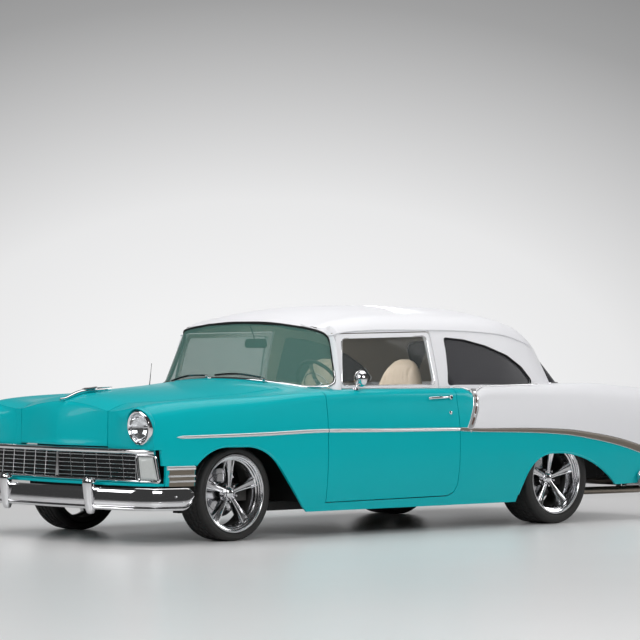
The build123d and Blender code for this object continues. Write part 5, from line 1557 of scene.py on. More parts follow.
@dataclass
class SideTrim:
    """Bright spear, sash, belt and window mouldings, handles and the gravel bars."""

    body: BodyForm
    cabin: CabinForm

    def on_side(self, name: str, line: Sequence[Pair], widths: Sequence[float], rise: float,
                finish: Finish, steps: int = 60) -> Piece:
        """Moulding on the body's left side along a line of y and z."""
        ys = np.array([p[0] for p in line], float)
        zs = np.array([p[1] for p in line], float)
        t = np.concatenate([[0], np.cumsum(np.hypot(np.diff(ys), np.diff(zs)))])
        at = np.linspace(0, t[-1], steps)
        y, z, w = settle(ys, t, at), settle(zs, t, at), np.interp(at, t, widths)
        path = [self.body.side(a, b) for a, b in zip(y, z)]
        outs = [self.body.side_out(a, b) for a, b in zip(y, z)]
        ups = []
        for i in range(steps):
            ahead = path[min(i + 1, steps - 1)] - path[max(i - 1, 0)]
            ups.append(outs[i].cross(ahead.normalized()))
        return ribbon(name, path, ups, outs, list(w), rise, finish)

    def part_of(self, low: float, high: float) -> list[Pair]:
        """The spear's line between two places along the car."""
        ys, zs = zip(*SPEAR)
        inner = [p for p in SPEAR if low < p[0] < high]
        ends = [(y, float(np.interp(y, ys, zs))) for y in (low, high)]
        return [ends[0], *inner, ends[1]]

    def spear(self) -> None:
        """The long bright spear, split at the door's gaps, widening behind the sash."""
        tip = self.part_of(-2186, DOOR_Y - GAP)
        widths = [4] + [24] * (len(tip) - 1)
        tip.insert(1, (-2150, tip[0][1] + 0.3))
        widths.insert(1, 20)
        attach_pair(self.on_side("spear_a", tip, widths, 9, BRIGHT), "spear_front", "body",
                    Slot.CHROME)
        door = self.part_of(DOOR_Y + 1, 234)
        attach_pair(self.on_side("spear_b", door, [24] * len(door), 9, BRIGHT), "spear_door",
                    "door_{}", Slot.CHROME)
        tail = self.part_of(243, 2436)
        ys = [p[0] for p in tail]
        widths = [float(np.interp(y, (243, 450, 844, 1268, 1856, 2436), (20, 22, 28, 36, 50, 58)))
                  for y in ys]
        attach_pair(self.on_side("spear_c", tail, widths, 7, SATIN_TRIM, 90), "spear_band", "body",
                    Slot.CHROME)
        for name, shift in (("upper", 1), ("lower", -1)):
            edge = [(y, z + shift * w / 2) for (y, z), w in zip(tail, widths)]
            attach_pair(self.on_side(f"edge_{name}", edge, [6] * len(edge), 8, BRIGHT, 90),
                        f"spear_edge_{name}", "body", Slot.CHROME)

    def sash(self) -> None:
        """Slanted sash behind the door, with three dark red panes in a bright frame."""
        line = [(y + 28, z) for y, z in SASH_LEFT[::-1]]
        line = [(line[0][0] - 8, 655), *line]
        widths = [50, 52, 56, 60, 54]
        attach_pair(self.on_side("sash", line, widths, 7, BRIGHT, 24), "sash", "body", Slot.CHROME)
        for k, (low, high) in enumerate(((0.13, 0.30), (0.39, 0.57), (0.66, 0.83))):
            ys, zs = [p[0] for p in line], [p[1] for p in line]
            span = [655 + (930 - 655) * (low + (high - low) * t) for t in (0, 0.5, 1)]
            pane = [(float(np.interp(z, zs, ys)), z) for z in span]
            made = self.on_side("pane", pane, [23, 24, 25], 9.0, DARK_RED, 8)
            attach_pair(made, f"sash_pane_{k}", "body", Slot.RED)

    def belt(self) -> None:
        """Bright belt moulding under the side windows, on the door and behind it."""
        def along(y0: float, y1: float, x_in: float) -> list[Point]:
            """Points of a line along the side."""
            return [(x_in + float(self.cabin.row(y)[0]), y,
                     self.body.top(x_in + float(self.cabin.row(y)[0]), y) + 4)
                    for y in np.linspace(y0, y1, 40)]
        attach_pair(Moulding.sweep("belt_door_sweep", along(-745, 200, 4), 14, 12, BRIGHT),
                    "belt_door", "door_{}", Slot.CHROME)
        attach_pair(Moulding.sweep("belt_rear_sweep", along(240, 1125, 4), 14, 12, BRIGHT),
                    "belt_rear", "body", Slot.CHROME)

    def windows(self) -> None:
        """Drip rail and the bright frames round the side glass."""
        drip = [self.cabin.drip(y) + Vector((3, 0, 0)) for y in np.linspace(-760, 1230, 70)]
        attach_pair(Moulding.sweep("drip_sweep", drip, 9, 13, WHITE), "drip_rail", "body",
                    Slot.WHITE)
        for name, outline, body, radius in (("door", DOOR_GLASS, "door_{}", 34),
                                            ("quarter", QUARTER_GLASS, "body", 22)):
            loop = [self.cabin.side(y, z) + Vector((-2, 0, 0))
                    for y, z in round_corners(outline, radius)]
            attach_pair(Moulding.sweep(f"{name}_reveal", loop, 9, 9, CHROME if name == "door"
                                       else SEAL_BLACK_AND_SHADE, closed=True),
                        f"{name}_reveal", body, Slot.CHROME)

    def handle(self) -> None:
        """Door pull with its push button, and the lock."""
        points = []
        for y, out, z in ((-36, 4, 869), (-30, 16, 870), (20, 24, 872), (90, 25, 874),
                          (130, 20, 876), (152, 6, 877)):
            p = self.body.side(y, z)
            points.append(p + self.body.side_out(y, z) * out)
        pull = Moulding.sweep("pull_sweep", points, 11, 16, CHROME)
        y, z = 166, 874
        out = self.body.side_out(y, z)
        button = turned("button", [(-2, 0), (-2, 15), (8, 15), (12, 11), (13, 0)],
                        tuple(self.body.side(y, z)), 32, tuple(out), closed=False, finish=CHROME)
        y, z = 156, 774
        lock = turned("lock", [(-2, 0), (-2, 12), (4, 12), (7, 8), (8, 0)],
                      tuple(self.body.side(y, z)), 28, tuple(self.body.side_out(y, z)),
                      closed=False, finish=CHROME)
        attach_pair(joined("handle", [pull, button, lock]), "door_handle", "door_{}", Slot.CHROME)

    def gravel(self) -> None:
        """Bright bars between the bumper and the front wheel arch."""
        pieces = []
        for low, high, start in ((452, 478, -2254), (410, 424, -2244), (378, 392, -2236)):
            middle = (low + high) / 2
            line = [(y, middle) for y in (start, -2200, -2120, -2052)]
            pieces.append(self.on_side("bar", line, [high - low] * 4, 9, BRIGHT, 16))
        plate = self.on_side("plate", [(y, 415) for y in (-2236, -2150, -2056)], [122] * 3, 3,
                             SATIN_TRIM, 16)
        attach_pair(joined("gravel", [*pieces, plate]), "gravel_bars", "body", Slot.CHROME)

    def build(self) -> None:
        """All side trim."""
        self.spear()
        self.sash()
        self.belt()
        self.windows()
        self.handle()
        self.gravel()


@dataclass
class Screen:
    """Wrapped glass that stands on the body.

    low and high are its plans at the two levels: end, turn, corner, and the centre's y. edges
    runs from the middle to the end: share of the half width, lowest z and highest z. ahead is
    1 for the windscreen and -1 for the back window. opening is the z and half width of the
    opening in the roof that the glass lies under.
    """

    name: str
    node: str
    finish: Finish
    slot: Slot
    levels: Pair
    low: tuple[Pair, Pair, Pair, float]
    high: tuple[Pair, Pair, Pair, float]
    edges: tuple[Point, ...]
    body: BodyForm
    ahead: int = 1
    opening: tuple[Pair, ...] = ()

    def plan(self, z: float) -> tuple[np.ndarray, np.ndarray]:
        """Plan line at z from the left end to the right one, and each point's share of it."""
        t = (z - self.levels[0]) / (self.levels[1] - self.levels[0])
        end, turn, corner = (tuple(a[i] + (b[i] - a[i]) * t for i in (0, 1))
                             for a, b in zip(self.low[:3], self.high[:3]))
        centre = self.low[3] + (self.high[3] - self.low[3]) * t
        near = arc3(end, turn, corner, 14)[:-1]
        middle = arc3(corner, (0, centre), (-corner[0], corner[1]), 40)
        line = np.array([*near, *middle, *[(-x, y) for x, y in reversed(near)]])
        line[:, 1] = smooth_line(line, 4)[:, 1]
        run = np.concatenate([[0], np.cumsum(np.hypot(*np.diff(line, axis=0).T))])
        return line, run / run[-1]

    def at(self, share: float, z: float) -> Vector:
        """Point of the glass at a share from -1 on the right to 1 on the left."""
        line, run = self.plan(z)
        u = (1 - share) / 2
        return Vector((float(np.interp(u, run, line[:, 0])),
                       float(np.interp(u, run, line[:, 1])), z))

    def out(self, share: float, z: float) -> Vector:
        """Direction out of the glass."""
        s = min(max(share, -0.99), 0.99)
        across = self.at(s + 0.01, z) - self.at(s - 0.01, z)
        up = self.at(s, z + 5) - self.at(s, z - 5)
        return across.cross(up).normalized() * self.ahead

    def span(self, share: float) -> Pair:
        """Lowest and highest z of the glass at a share."""
        shares, lows, tops = zip(*self.edges)
        floor = float(np.interp(abs(share), shares, lows))
        low = floor
        for _ in range(5):
            p = self.at(share, low)
            low = max(floor, self.body.top(p.x, p.y) - 2)
        return low, float(np.interp(abs(share), shares, tops))

    def shares(self, count: int = 91) -> list[float]:
        """Shares that lie closer together near the ends."""
        return [math.sin(math.pi / 2 * u) for u in np.linspace(-1, 1, count)]

    def pane(self) -> Piece:
        """The glass sheet."""
        rows, shares = 22, self.shares()
        spans = [self.span(s) for s in shares]
        points = []
        for r in range(rows):
            for s, (low, top) in zip(shares, spans):
                points.append(self.at(s, low + (top - low) * r / (rows - 1)))
        made = new_object(self.name, points, grid_faces(rows, len(shares)), smooth=60)
        thickened(made, 0.005, 0.0)
        return dress(made, self.finish)

    def loop(self, inset: float, out: float) -> list[Point]:
        """Closed line round the glass, drawn in by inset and lifted by out."""
        shares = self.shares(61)
        line = []
        for s in shares:
            low, _ = self.span(s)
            line.append((s, low + inset))
        for s in reversed(shares):
            line.append((s, self.span(s)[1] - inset))
        made = []
        for s, z in line:
            s *= 1 - inset / 950
            made.append(tuple(self.at(s, z) + self.out(s, z) * out))
        return made

    def foot(self, reach: float, lift: float, out: float) -> list[Point]:
        """Open line along the glass's foot that turns up at both ends."""
        made = []
        for s in self.shares(61):
            low = self.span(s)[0]
            made.append(tuple(self.at(s, low + lift) + self.out(s, low + lift) * out))
        for sign, where in ((1, len(made)), (-1, 0)):
            low = self.span(sign)[0]
            for z in np.linspace(low + 12, low + reach, 4):
                tip = tuple(self.at(sign, z) + self.out(sign, z) * out)
                made.insert(len(made) if where else 0, tip)
        return made

    def build(self) -> None:
        """Glass, rubber seal and bright foot moulding."""
        attach(self.pane(), "body", self.slot, self.node)
        over = -6 if self.opening else 2
        seal = Moulding.sweep(f"{self.name}_seal", self.loop(5, over), 15, 15, SEAL_BLACK_AND_SHADE, closed=True)
        attach(seal, "body", Slot.TYRE)
        trim = Moulding.sweep(f"{self.name}_trim", self.foot(46, 2, 9), 17, 14, CHROME)
        attach(trim, "body", Slot.CHROME)

    def tucked(self, line: np.ndarray, z: float) -> np.ndarray:
        """Plan line that leaves the glass at the opening's edge and runs outwards from there."""
        reach = float(np.interp(z, *zip(*self.opening)))
        made, half = line.copy(), len(line) // 2
        first = next((i for i in range(half) if line[i][0] <= reach), half)
        near = line[: half + 1][::-1]
        edge = np.array((reach, np.interp(reach, near[:, 0], near[:, 1])))
        for k in range(first):
            made[k] = edge + np.array((9.0, 3.0)) * (first - 1 - k)
            made[-1 - k] = made[k] * (-1, 1)
        return made

    def behind(self) -> Piece:
        """Everything on the cabin's side of the glass, to cut the roof's edge with."""
        rings = []
        for z in (860, 920, 980, 1040, 1100, 1160, 1195, 1212, 1222, 1230, 1237, 1243, 1247, 1250,
                  1254, 1300, 1340, 1380, 1440, 1500):
            line, _ = self.plan(z)
            if self.opening:
                line = self.tucked(line, z)
            inner = [(x, y + self.ahead * 5) for x, y in line]
            x, y = inner[0]
            back = y + (12 if self.opening else 60)
            far = self.ahead * 3000
            ring = [*inner, (-x - 100, back), (-1200, back), (-1200, far), (1200, far),
                    (1200, back), (x + 100, back)]
            rings.append(np.array([(a, b, z) for a, b in ring]))
        return tube_of_rings("cutter", rings)


def windscreen(body: BodyForm) -> Screen:
    """The wrapped windscreen."""
    return Screen(
        "windscreen_pane", "windscreen", SCREEN, Slot.CLEAR, (900, 1400),
        ((838, -790), (800, -862), (700, -912), -1045),
        ((652, -706), (640, -748), (574, -778), -810),
        ((0, 940, 1362), (0.5, 940, 1350), (0.75, 940, 1330), (0.88, 940, 1313),
         (0.95, 948, 1292), (0.985, 966, 1264), (1.0, 1000, 1226)), body)


def back_window(body: BodyForm) -> Screen:
    """The wrapped back window."""
    return Screen(
        "back_pane", "rear_window", SMOKED, Slot.DARK, (880, 1300),
        ((668, 1467), (646, 1560), (586, 1650), 1928),
        ((500, 1150), (490, 1236), (440, 1340), 1488),
        ((0, 900, 1250), (0.6, 900, 1250), (0.85, 900, 1246), (0.95, 920, 1232),
         (1.0, 975, 1196)), body, -1,
        ((860, 700), (960, 616), (1100, 533), (1180, 488), (1212, 466), (1228, 448), (1236, 428),
         (1242, 395), (1247, 330), (1250, 0)))


@dataclass
class ScreenFittings:
    """Pillar faces beside the windscreen, wipers, inner mirror, cowl vent and antenna."""

    screen: Screen
    body: BodyForm
    cabin: CabinForm

    def surround(self) -> Piece:
        """White face between the windscreen's left end and the door frame."""
        inner: list[Vector] = []
        for s, z in ((0.74, 1334), (0.86, 1318), (0.92, 1302), (0.96, 1284), (0.99, 1258),
                     (1.0, 1226),
                     (1.0, 1150), (1.0, 1080), (1.0, 1010), (0.992, 980), (0.972, 955),
                     (0.94, 941)):
            inner.append(self.screen.at(s, z))
        outer = []
        for x, y in ((470, -775), (560, -770), (620, -762), (672, -750), (706, -730)):
            roof = self.cabin.half(y)[18:]
            z = float(np.interp(x, roof[::-1, 0], roof[::-1, 1]))
            outer.append(Vector((x, y, z - 5)))
        for z in (1236, 1150, 1080, 1010, 965, 930, 905):
            t = (z - 905) / 385
            outer.append(Vector((852 - 100 * t, -768 + 46 * t, z)))
        columns, points = 7, []
        for a, b in zip(inner, outer):
            for k in range(columns):
                t = k / (columns - 1)
                p = a.lerp(b, t)
                swell = (7 if b.z < 1285 else 1) * 4 * t * (1 - t)
                points.append(p + Vector((0.72, -0.69, 0.1)) * swell)
        made = new_object("surround", points, grid_faces(len(inner), columns), smooth=60)
        thickened(subdivided(made), 0.014, 0.0)
        made.data.materials.append(WHITE.build())
        return made

    def wiper(self, pivot_share: float, tip_share: float, number: int) -> None:
        """Pivot, bright arm and black blade of one wiper."""
        def on_glass(share: float, lift: float, out: float) -> Vector:
            """Point on the glass."""
            z = self.screen.span(share)[0] + lift
            return self.screen.at(share, z) + self.screen.out(share, z) * out
        foot = on_glass(pivot_share, 4, 26)
        knob = turned("knob", [(-14, 0), (-14, 11), (6, 11), (12, 7), (14, 0)], tuple(foot), 24,
                      (0, -0.3, 1), closed=False, finish=CHROME)
        middle = (pivot_share + tip_share) / 2
        arm = Moulding.sweep(f"wiper_arm_sweep_{number}",
                             [foot + Vector((0, 0, 10)),
                              on_glass(pivot_share - 0.06, 22, 24),
                              on_glass(middle + 0.05, 30, 17), on_glass(middle, 30, 14)],
                             7, 5, CHROME)
        blade = Moulding.sweep(f"wiper_blade_sweep_{number}",
                               [on_glass(s, 22 + 10 * math.sin(math.pi * t), 9)
                                for s, t in zip(np.linspace(pivot_share - 0.05, tip_share, 12),
                                                np.linspace(0, 1, 12))], 9, 12, SEAL_BLACK_AND_SHADE)
        attach(joined(f"wiper_{number}", [knob, arm, blade]), "body", Slot.CHROME)

    def mirror(self) -> None:
        """Inner mirror on a stem from the header."""
        stem = Moulding.sweep("stem_sweep", [(0, -792, 1352), (0, -772, 1318), (0, -748, 1262),
                                             (0, -738, 1232)], 9, 9, SEAL_BLACK_AND_SHADE)
        outline = round_corners([(-104, 1192), (104, 1192), (96, 1254), (-96, 1254)], 26)
        rings = []
        for y, draw in ((-748, 8), (-738, 0), (-724, 0), (-720, 4), (-721, 10)):
            rings.append(np.array([(x * (1 - draw / 104), y, 1223 + (z - 1223) * (1 - draw / 34))
                                   for x, z in outline]))
        case = tube_of_rings("case", rings, 40, finish=SEAL_BLACK_AND_SHADE)
        attach(joined("inner_mirror", [case, stem]), "body", Slot.DASH)

    def cowl_vent(self) -> None:
        """Slats of the air intake ahead of the windscreen."""
        slats = []
        for k in range(4):
            path = []
            for x in np.linspace(-430, 430, 25):
                y = -1046 - 13 * k + 26 * (x / 430) ** 2
                path.append((x, y, self.body.top(x, y) + 1))
            count = len(path)
            slats.append(ribbon("slat", path, [(0, 1, 0)] * count, [(0, 0, 1)] * count,
                                [7] * count, 3.5, TURQUOISE if k % 2 else SEAL_BLACK_AND_SHADE))
        attach(joined("cowl_vent", slats), "body", Slot.TURQUOISE)

    def antenna(self) -> None:
        """Thin mast on the right fender."""
        z = self.body.top(700, -1056)
        mast = turned("mast", [(-6, 0), (-6, 9), (4, 8), (8, 4), (16, 3), (80, 2.4),
                               (82, 1.8), (146, 1.5), (148, 2.6), (152, 2.6), (154, 0)],
                      (-700, -1056, z), 20, (0, 0.12, 1), closed=False, finish=CAST_IRON)
        attach(mast, "body", Slot.CHROME)

    def build(self) -> None:
        """All fittings round the windscreen."""
        left = self.surround()
        attach_pair(left, "pillar_face", "body", Slot.WHITE)
        self.wiper(0.42, -0.12, 1)
        self.wiper(-0.18, -0.72, 2)
        self.mirror()
        self.cowl_vent()
        self.antenna()


@dataclass
class Ornament:
    """Plain bright lance along the hood's middle, with two small swept wings."""

    body: BodyForm
    start: float = -2372.0
    end: float = -1965.0

    def build(self) -> None:
        """Lance and wings as one piece on the hood."""
        rings = []
        for t in np.linspace(0, 1, 26):
            y = self.start + (self.end - self.start) * t
            base = max(self.body.top(0, max(y, NOSE_Y + 6)) - 3, 0)
            lift = 12 + 9 * math.sin(math.pi * min(t * 1.25, 1))
            girth = 3 + 15 * math.sin(math.pi * t ** 0.8) ** 0.8
            z = base + lift
            ring = []
            for k in range(16):
                turn = 2 * math.pi * k / 16
                ring.append((girth * math.cos(turn), y,
                             z + (lift + 2) * 0.9 * math.sin(turn)
                             * (0.5 if math.sin(turn) > 0 else 1)))
            rings.append(np.array(ring))
        lance = tube_of_rings("lance", rings, 60, finish=CHROME)
        wings = []
        for sign in (1, -1):
            top = self.body.top(0, -2080)
            rings = []
            for t in np.linspace(0, 1, 9):
                x = sign * (8 + 66 * t)
                y = -2150 + 120 * t
                chord = 96 * (1 - 0.62 * t)
                z = top + 18 + 12 * t
                ring = [(x, y - chord / 2, z), (x, y - chord / 6, z + 6 * (1 - t) + 1.5),
                        (x, y + chord / 3, z + 5 * (1 - t) + 1.5), (x, y + chord / 2, z + 1),
                        (x, y + chord / 4, z - 2)]
                rings.append(np.array(ring))
            wing = tube_of_rings("wing", rings, 50, finish=CHROME)
            wings.append(wing)
        attach(joined("hood_ornament", [lance, *wings]), "hood", Slot.CHROME)


@dataclass
class Dash:
    """Dashboard with instruments, the column, and the steering wheel."""

    centre: Point = (375.0, -500.0, 935.0)
    lean: float = 28.0
    wheel_r: float = 195.0

    @property
    def way(self) -> Vector:
        """Direction of the steering column towards the driver."""
        return Vector((0, math.cos(math.radians(self.lean)), math.sin(math.radians(self.lean))))

    def panel(self) -> Piece:
        """Rounded panel with a raised hood over the instruments."""
        section = [(-930, 700), (-930, 890), (-820, 904), (-706, 884), (-674, 840), (-690, 770),
                   (-700, 700)]
        rings = []
        for x in np.linspace(-768, 768, 65):
            hood = 24 * math.exp(-(((x - self.centre[0]) / 150) ** 4))
            ring = []
            for y, z in round_corners(section, 34, 5):
                near = min(max((y + 830) / 130, 0), 1)
                ring.append((x, y + 10 * near * math.cos(x / 500),
                             z + hood * (1 if z > 835 else 0)))
            rings.append(np.array(ring))
        return tube_of_rings("dash_panel", rings, 40, finish=DASH)

    def dials(self) -> list[Piece]:
        """Round instruments, knobs and a bright strip on the panel's face."""
        made = []
        for x, radius in ((self.centre[0] - 92, 52), (self.centre[0] + 92, 52),
                          (self.centre[0], 30), (0, 36)):
            y = -680 + 8 * math.cos(x / 500)
            ring = turned("ring", [(-6, radius - 7), (-6, radius), (5, radius), (8, radius - 3),
                                   (5, radius - 7)], (x, y, 838), 40, (0, 1, 0), finish=CHROME)
            face = turned("face", [(-6, 0), (-6, radius - 6), (1, radius - 6), (2, 0)],
                          (x, y, 838), 40, (0, 1, 0), closed=False, finish=SEAL_BLACK_AND_SHADE)
            made += [ring, face]
        places = [(x, -688, 772) for x in (-60, -20, 20, 60, 240, 510)]
        made.append(Moulding.studs("dash_knobs", places, (0, 1, 0), 11, 18, CHROME, 16))
        line = [(x, -686 + 6 * math.cos(x / 500), 796) for x in np.linspace(-740, 740, 31)]
        made.append(Moulding.sweep("dash_strip", line, 9, 9, CHROME))
        return made

    def column(self) -> Piece:
        """Tapered column below the wheel with its shift lever."""
        foot = Vector(self.centre) - self.way * 62
        post = turned("post", [(0, 0), (0, 30), (-14, 33), (-90, 31), (-110, 25), (-300, 24),
                               (-300, 0)], tuple(foot), 40, tuple(self.way), closed=False,
                      finish=DASH)
        start = foot - self.way * 40
        lever = Moulding.sweep("lever", [start, start + Vector((-70, 20, 10)),
                                         start + Vector((-150, 50, 28))], 8, 8, CHROME)
        knob = turned("knob", [(-12, 0), (-10, 9), (0, 13), (10, 9), (12, 0)],
                      tuple(start + Vector((-158, 53, 30))), 20, (-1, 0.3, 0.2), closed=False,
                      finish=SEAL_BLACK_AND_SHADE)
        return joined("column", [post, lever, knob])

    def wheel(self) -> None:
        """Two-tone wheel with three spokes and a bright horn ring."""
        axis = self.way
        side = Vector((1, 0, 0))
        up = axis.cross(side)
        centre = Vector(self.centre)
        profile = []
        for k in range(16):
            turn = 2 * math.pi * k / 16
            profile.append((12 * math.sin(turn), self.wheel_r + 12 * math.cos(turn)))
        ring = turned("ring", profile, self.centre, 96, tuple(axis), finish=SEAL_BLACK_AND_SHADE)
        horn_profile = [(-20 + 4 * math.sin(t), 118 + 4 * math.cos(t))
                        for t in np.linspace(0, 2 * math.pi, 9)[:-1]]
        horn = turned("horn", horn_profile, self.centre, 72, tuple(axis), finish=CHROME)
        hub = turned("hub", [(-62, 0), (-62, 17), (-24, 18), (-22, 33), (10, 35), (17, 28),
                             (21, 14),
                             (22, 0)], self.centre, 48, tuple(axis), closed=False, finish=CHROME)
        pieces = [ring, horn, hub]
        for turn in (90, 210, 330):
            way = side * math.cos(math.radians(turn)) - up * math.sin(math.radians(turn))
            across = axis.cross(way)
            rings = []
            for r, half, drop in ((26, 20, 0), (80, 15, -16), (130, 13, -14), (188, 15, 0)):
                middle = centre + way * r + axis * drop
                corners = [(half, 4), (half * 0.6, 7), (-half * 0.6, 7), (-half, 4), (-half, -4),
                           (half, -4)]
                rings.append(np.array([tuple(middle + across * a + axis * b) for a, b in corners]))
            spoke = tube_of_rings("spoke", rings, 40, finish=CHROME)
            pieces.append(spoke)
        attach(joined("steering_wheel_piece", pieces), "steering_wheel", Slot.DASH,
               "steering_wheel")

    def build(self) -> None:
        """Dashboard on the body and the wheel on its own."""
        attach(joined("dashboard_piece", [self.panel(), *self.dials(), self.column()]), "body",
               Slot.DASH, "dashboard")
        self.wheel()


@dataclass
class Upholstery:
    """Padded seats, door cards, carpet and shelf."""

    body: BodyForm
    cabin: CabinForm
    voxel: float = 0.012
    cap: float = 0.013
    pressure: float = 4.0
    frames: int = 20

    def pad(self, name: str, wide: float, long: float, thick: float, channels: Sequence[float],
            bolster: float, power: float = 3.4, taper: float = 0.0) -> Piece:
        """Crowned cushion in its own axes: x across, y along from 0 to long, z up.

        Args:
            name: Object name.
            wide: Width in mm.
            long: Length in mm.
            thick: Thickness in mm.
            channels: Places of the sewn channels across, in mm.
            bolster: Height that the sides rise by, in mm.
            power: How square the outline is.
            taper: Share of the width lost at the far end.

        Returns:
            The closed cushion.
        """
        rings, steps = 34, 112
        points, faces = [], []
        for face in (1, -1):
            for i in range(rings + 1):
                r = i / rings
                for k in range(steps):
                    turn = 2 * math.pi * k / steps
                    c, s = math.cos(turn), math.sin(turn)
                    grow = (abs(c) ** power + abs(s) ** power) ** (-1 / power)
                    u, v = c * grow * r, s * grow * r
                    height = thick / 2 * (1 - r ** 5) ** 0.5
                    if face > 0:
                        side = min(max((abs(u) - 0.50) / 0.28, 0), 1)
                        height += bolster * side * side * (3 - 2 * side) * (1 - r ** 8)
                        if abs(v) < 0.80:
                            for place in channels:
                                height -= 9 * math.exp(-(((u * wide / 2 - place) / 8) ** 2))
                            height -= 9 * math.exp(-(((abs(u) - 0.52) * wide / 2 / 9) ** 2))
                    narrow = 1 - taper * max(0.0, (v + 0.1) / 1.1) ** 1.5
                    points.append((u * wide / 2 * narrow, long / 2 + v * long / 2, face * height))
        count = (rings + 1) * steps
        faces += grid_faces(rings + 1, steps, closed=True)
        faces += [list(reversed(f)) for f in grid_faces(rings + 1, steps, closed=True, start=count)]
        return new_object(name, points, faces, smooth=60)

    def inflate(self, piece: Piece) -> None:
        """Swell a pad with cloth pressure, at most by the cap, and keep the result."""
        net = piece.modifiers.new("net", "REMESH")
        net.mode, net.voxel_size = "VOXEL", self.voxel
        bake(piece)
        scene = bpy.context.scene
        scene.frame_set(1)
        cloth = piece.modifiers.new("cloth", "CLOTH")
        cloth.settings.use_pressure = True
        cloth.settings.uniform_pressure_force = self.pressure
        cloth.settings.effector_weights.gravity = 0
        cloth.settings.quality = 4
        cloth.point_cache.frame_end = self.frames
        for step in range(1, self.frames + 1):
            scene.frame_set(step)
        count = len(piece.data.vertices)
        before, after = np.empty(count * 3), np.empty(count * 3)
        piece.data.vertices.foreach_get("co", before)
        swollen = piece.evaluated_get(bpy.context.evaluated_depsgraph_get())
        swollen.data.vertices.foreach_get("co", after)
        move = (after - before).reshape(-1, 3)
        far = np.linalg.norm(move, axis=1, keepdims=True)
        move *= np.minimum(1, self.cap / np.maximum(far, 1e-9))
        piece.modifiers.clear()
        piece.data.vertices.foreach_set("co", (before.reshape(-1, 3) + move).ravel())
        scene.frame_set(1)
        subdivided(piece)
        shade(piece, 60)

    def seat(self, piece: Piece, origin: Point, along: Point, up: Point) -> None:
        """Set a pad at an origin with its length along and its face up."""
        y, z = Vector(along).normalized(), Vector(up).normalized()
        x = y.cross(z)
        z = x.cross(y)
        turn = Matrix((x, y, z)).transposed().to_4x4()
        piece.data.transform(Matrix.Translation(Vector(origin) * MM) @ turn)

    def finish_pad(self, piece: Piece, *nodes: str) -> None:
        attach(dress(piece, LEATHER), "body", Slot.TAN, *nodes)

    def buckets(self) -> None:
        """Two high-backed front seats on their plinths."""
        cushion = self.pad("front_cushion_left", 468, 505, 92, (-60, 0, 60), 20)
        self.inflate(cushion)
        self.seat(cushion, (400, 132, 470), (0, -1, 0.05), (0, 0.05, 1))
        back = self.pad("front_back_left", 488, 700, 84, (-75, -25, 25, 75), 22, 3.2, 0.34)
        self.inflate(back)
        self.seat(back, (384, 148, 448), (0, 0.19, 1), (0, -1, 0.19))
        for piece, base in ((cushion, "front_cushion"), (back, "front_back")):
            other = mirrored(piece, f"{base}_right")
            self.finish_pad(piece, "front_seats")
            self.finish_pad(other)
        plinths = []
        for sign in (1, -1):
            rings = []
            for z, grow in ((229, 0), (240, 6), (380, 14), (418, 22), (432, 10)):
                x0, x1 = sorted((sign * (205 - grow), sign * (555 + grow)))
                outline = round_corners([(x0, -295 - grow), (x1, -295 - grow), (x1, 95 + grow),
                                         (x0, 95 + grow)], 40)
                rings.append(np.array([(x, y, z) for x, y in outline]))
            plinth = tube_of_rings("plinth", rings, 40, finish=CARPET)
            plinths.append(plinth)
        attach(joined("seat_plinths", plinths), "body", Slot.DASH)

    def bench(self) -> None:
        """Rear bench: cushion and back."""
        cushion = self.pad("rear_cushion", 1230, 440, 104, (-400, -240, -80, 80, 240, 400), 0, 5.0)
        self.inflate(cushion)
        self.seat(cushion, (0, 1010, 512), (0, -1, 0), (0, 0, 1))
        back = self.pad("rear_back", 1110, 440, 84, (-400, -240, -80, 80, 240, 400), 0, 5.0)
        self.inflate(back)
        self.seat(back, (0, 1048, 478), (0, 0.12, 1), (0, -1, 0.12))
        self.finish_pad(cushion, "rear_seat")
        self.finish_pad(back)

    def cards(self) -> None:
        """Door cards with arm rests and bright strips."""
        outline = round_corners([(-925, 300), (110, 300), (192, 360), (192, 905), (-925, 905)], 30)
        drawn = grown(outline, -8)
        panel = tube_of_rings("panel", [np.array([(x, y, z) for y, z in line]) for x, line in
                                        ((809, outline), (800, outline), (795, drawn))], 30,
                              finish=LEATHER)
        rest = tube_of_rings("rest", [np.array([(x, y, z) for x, z in round_corners(
            [(803, 560 + d), (740 + d, 570 + d), (740 + d, 625 - d), (803, 632 - d)], 18)])
            for y, d in ((-560, 14), (-545, 3), (-300, 0), (-80, 0), (-65, 3), (-50, 14))], 40,
                             finish=LEATHER)
        strips = []
        for z in (640, 700, 760):
            strips.append(Moulding.sweep(f"card_strip_{z}", [(794, y, z) for y in
                                                           np.linspace(-900, 170, 9)], 6, 6,
                                         CHROME))
        attach_pair(joined("card", [panel, rest, *strips]), "door_card", "door_{}", Slot.TAN)

    def carpet(self) -> None:
        """Carpet over the floor and its tunnel."""
        outline = round_corners([(-796, 234), (-158, 236), (-152, 414), (152, 414), (158, 236),
                                 (796, 234), (796, 228.5), (-796, 228.5)], 14)
        rings = [np.array([(x, y, z) for x, z in outline]) for y in np.linspace(-950, 618, 24)]
        made = tube_of_rings("cabin_carpet", rings, 40, finish=CARPET)
        attach(made, "body", Slot.DASH)

    def shelf(self, glass: Screen) -> None:
        """Shelf below the back window."""
        rows, columns, points = 16, 41, []
        for r in range(rows):
            for c in range(columns):
                s = -0.985 + 1.97 * c / (columns - 1)
                edge = glass.at(s, 945)
                y = 1156 + (edge.y - 14 - 1156) * r / (rows - 1)
                x = edge.x * (0.985 if abs(s) > 0.5 else 1.0)
                points.append((x, y, self.body.top(x, y) + 2.5))
        made = new_object("parcel_shelf", points, grid_faces(rows, columns), smooth=60)
        thickened(made, 0.003)
        made.data.materials.append(LINING.build())
        attach(made, "body", Slot.TAN)

    def build(self, glass: Screen) -> None:
        """All soft and lining pieces."""
        self.buckets()
        self.bench()
        self.cards()
        self.carpet()
        self.shelf(glass)


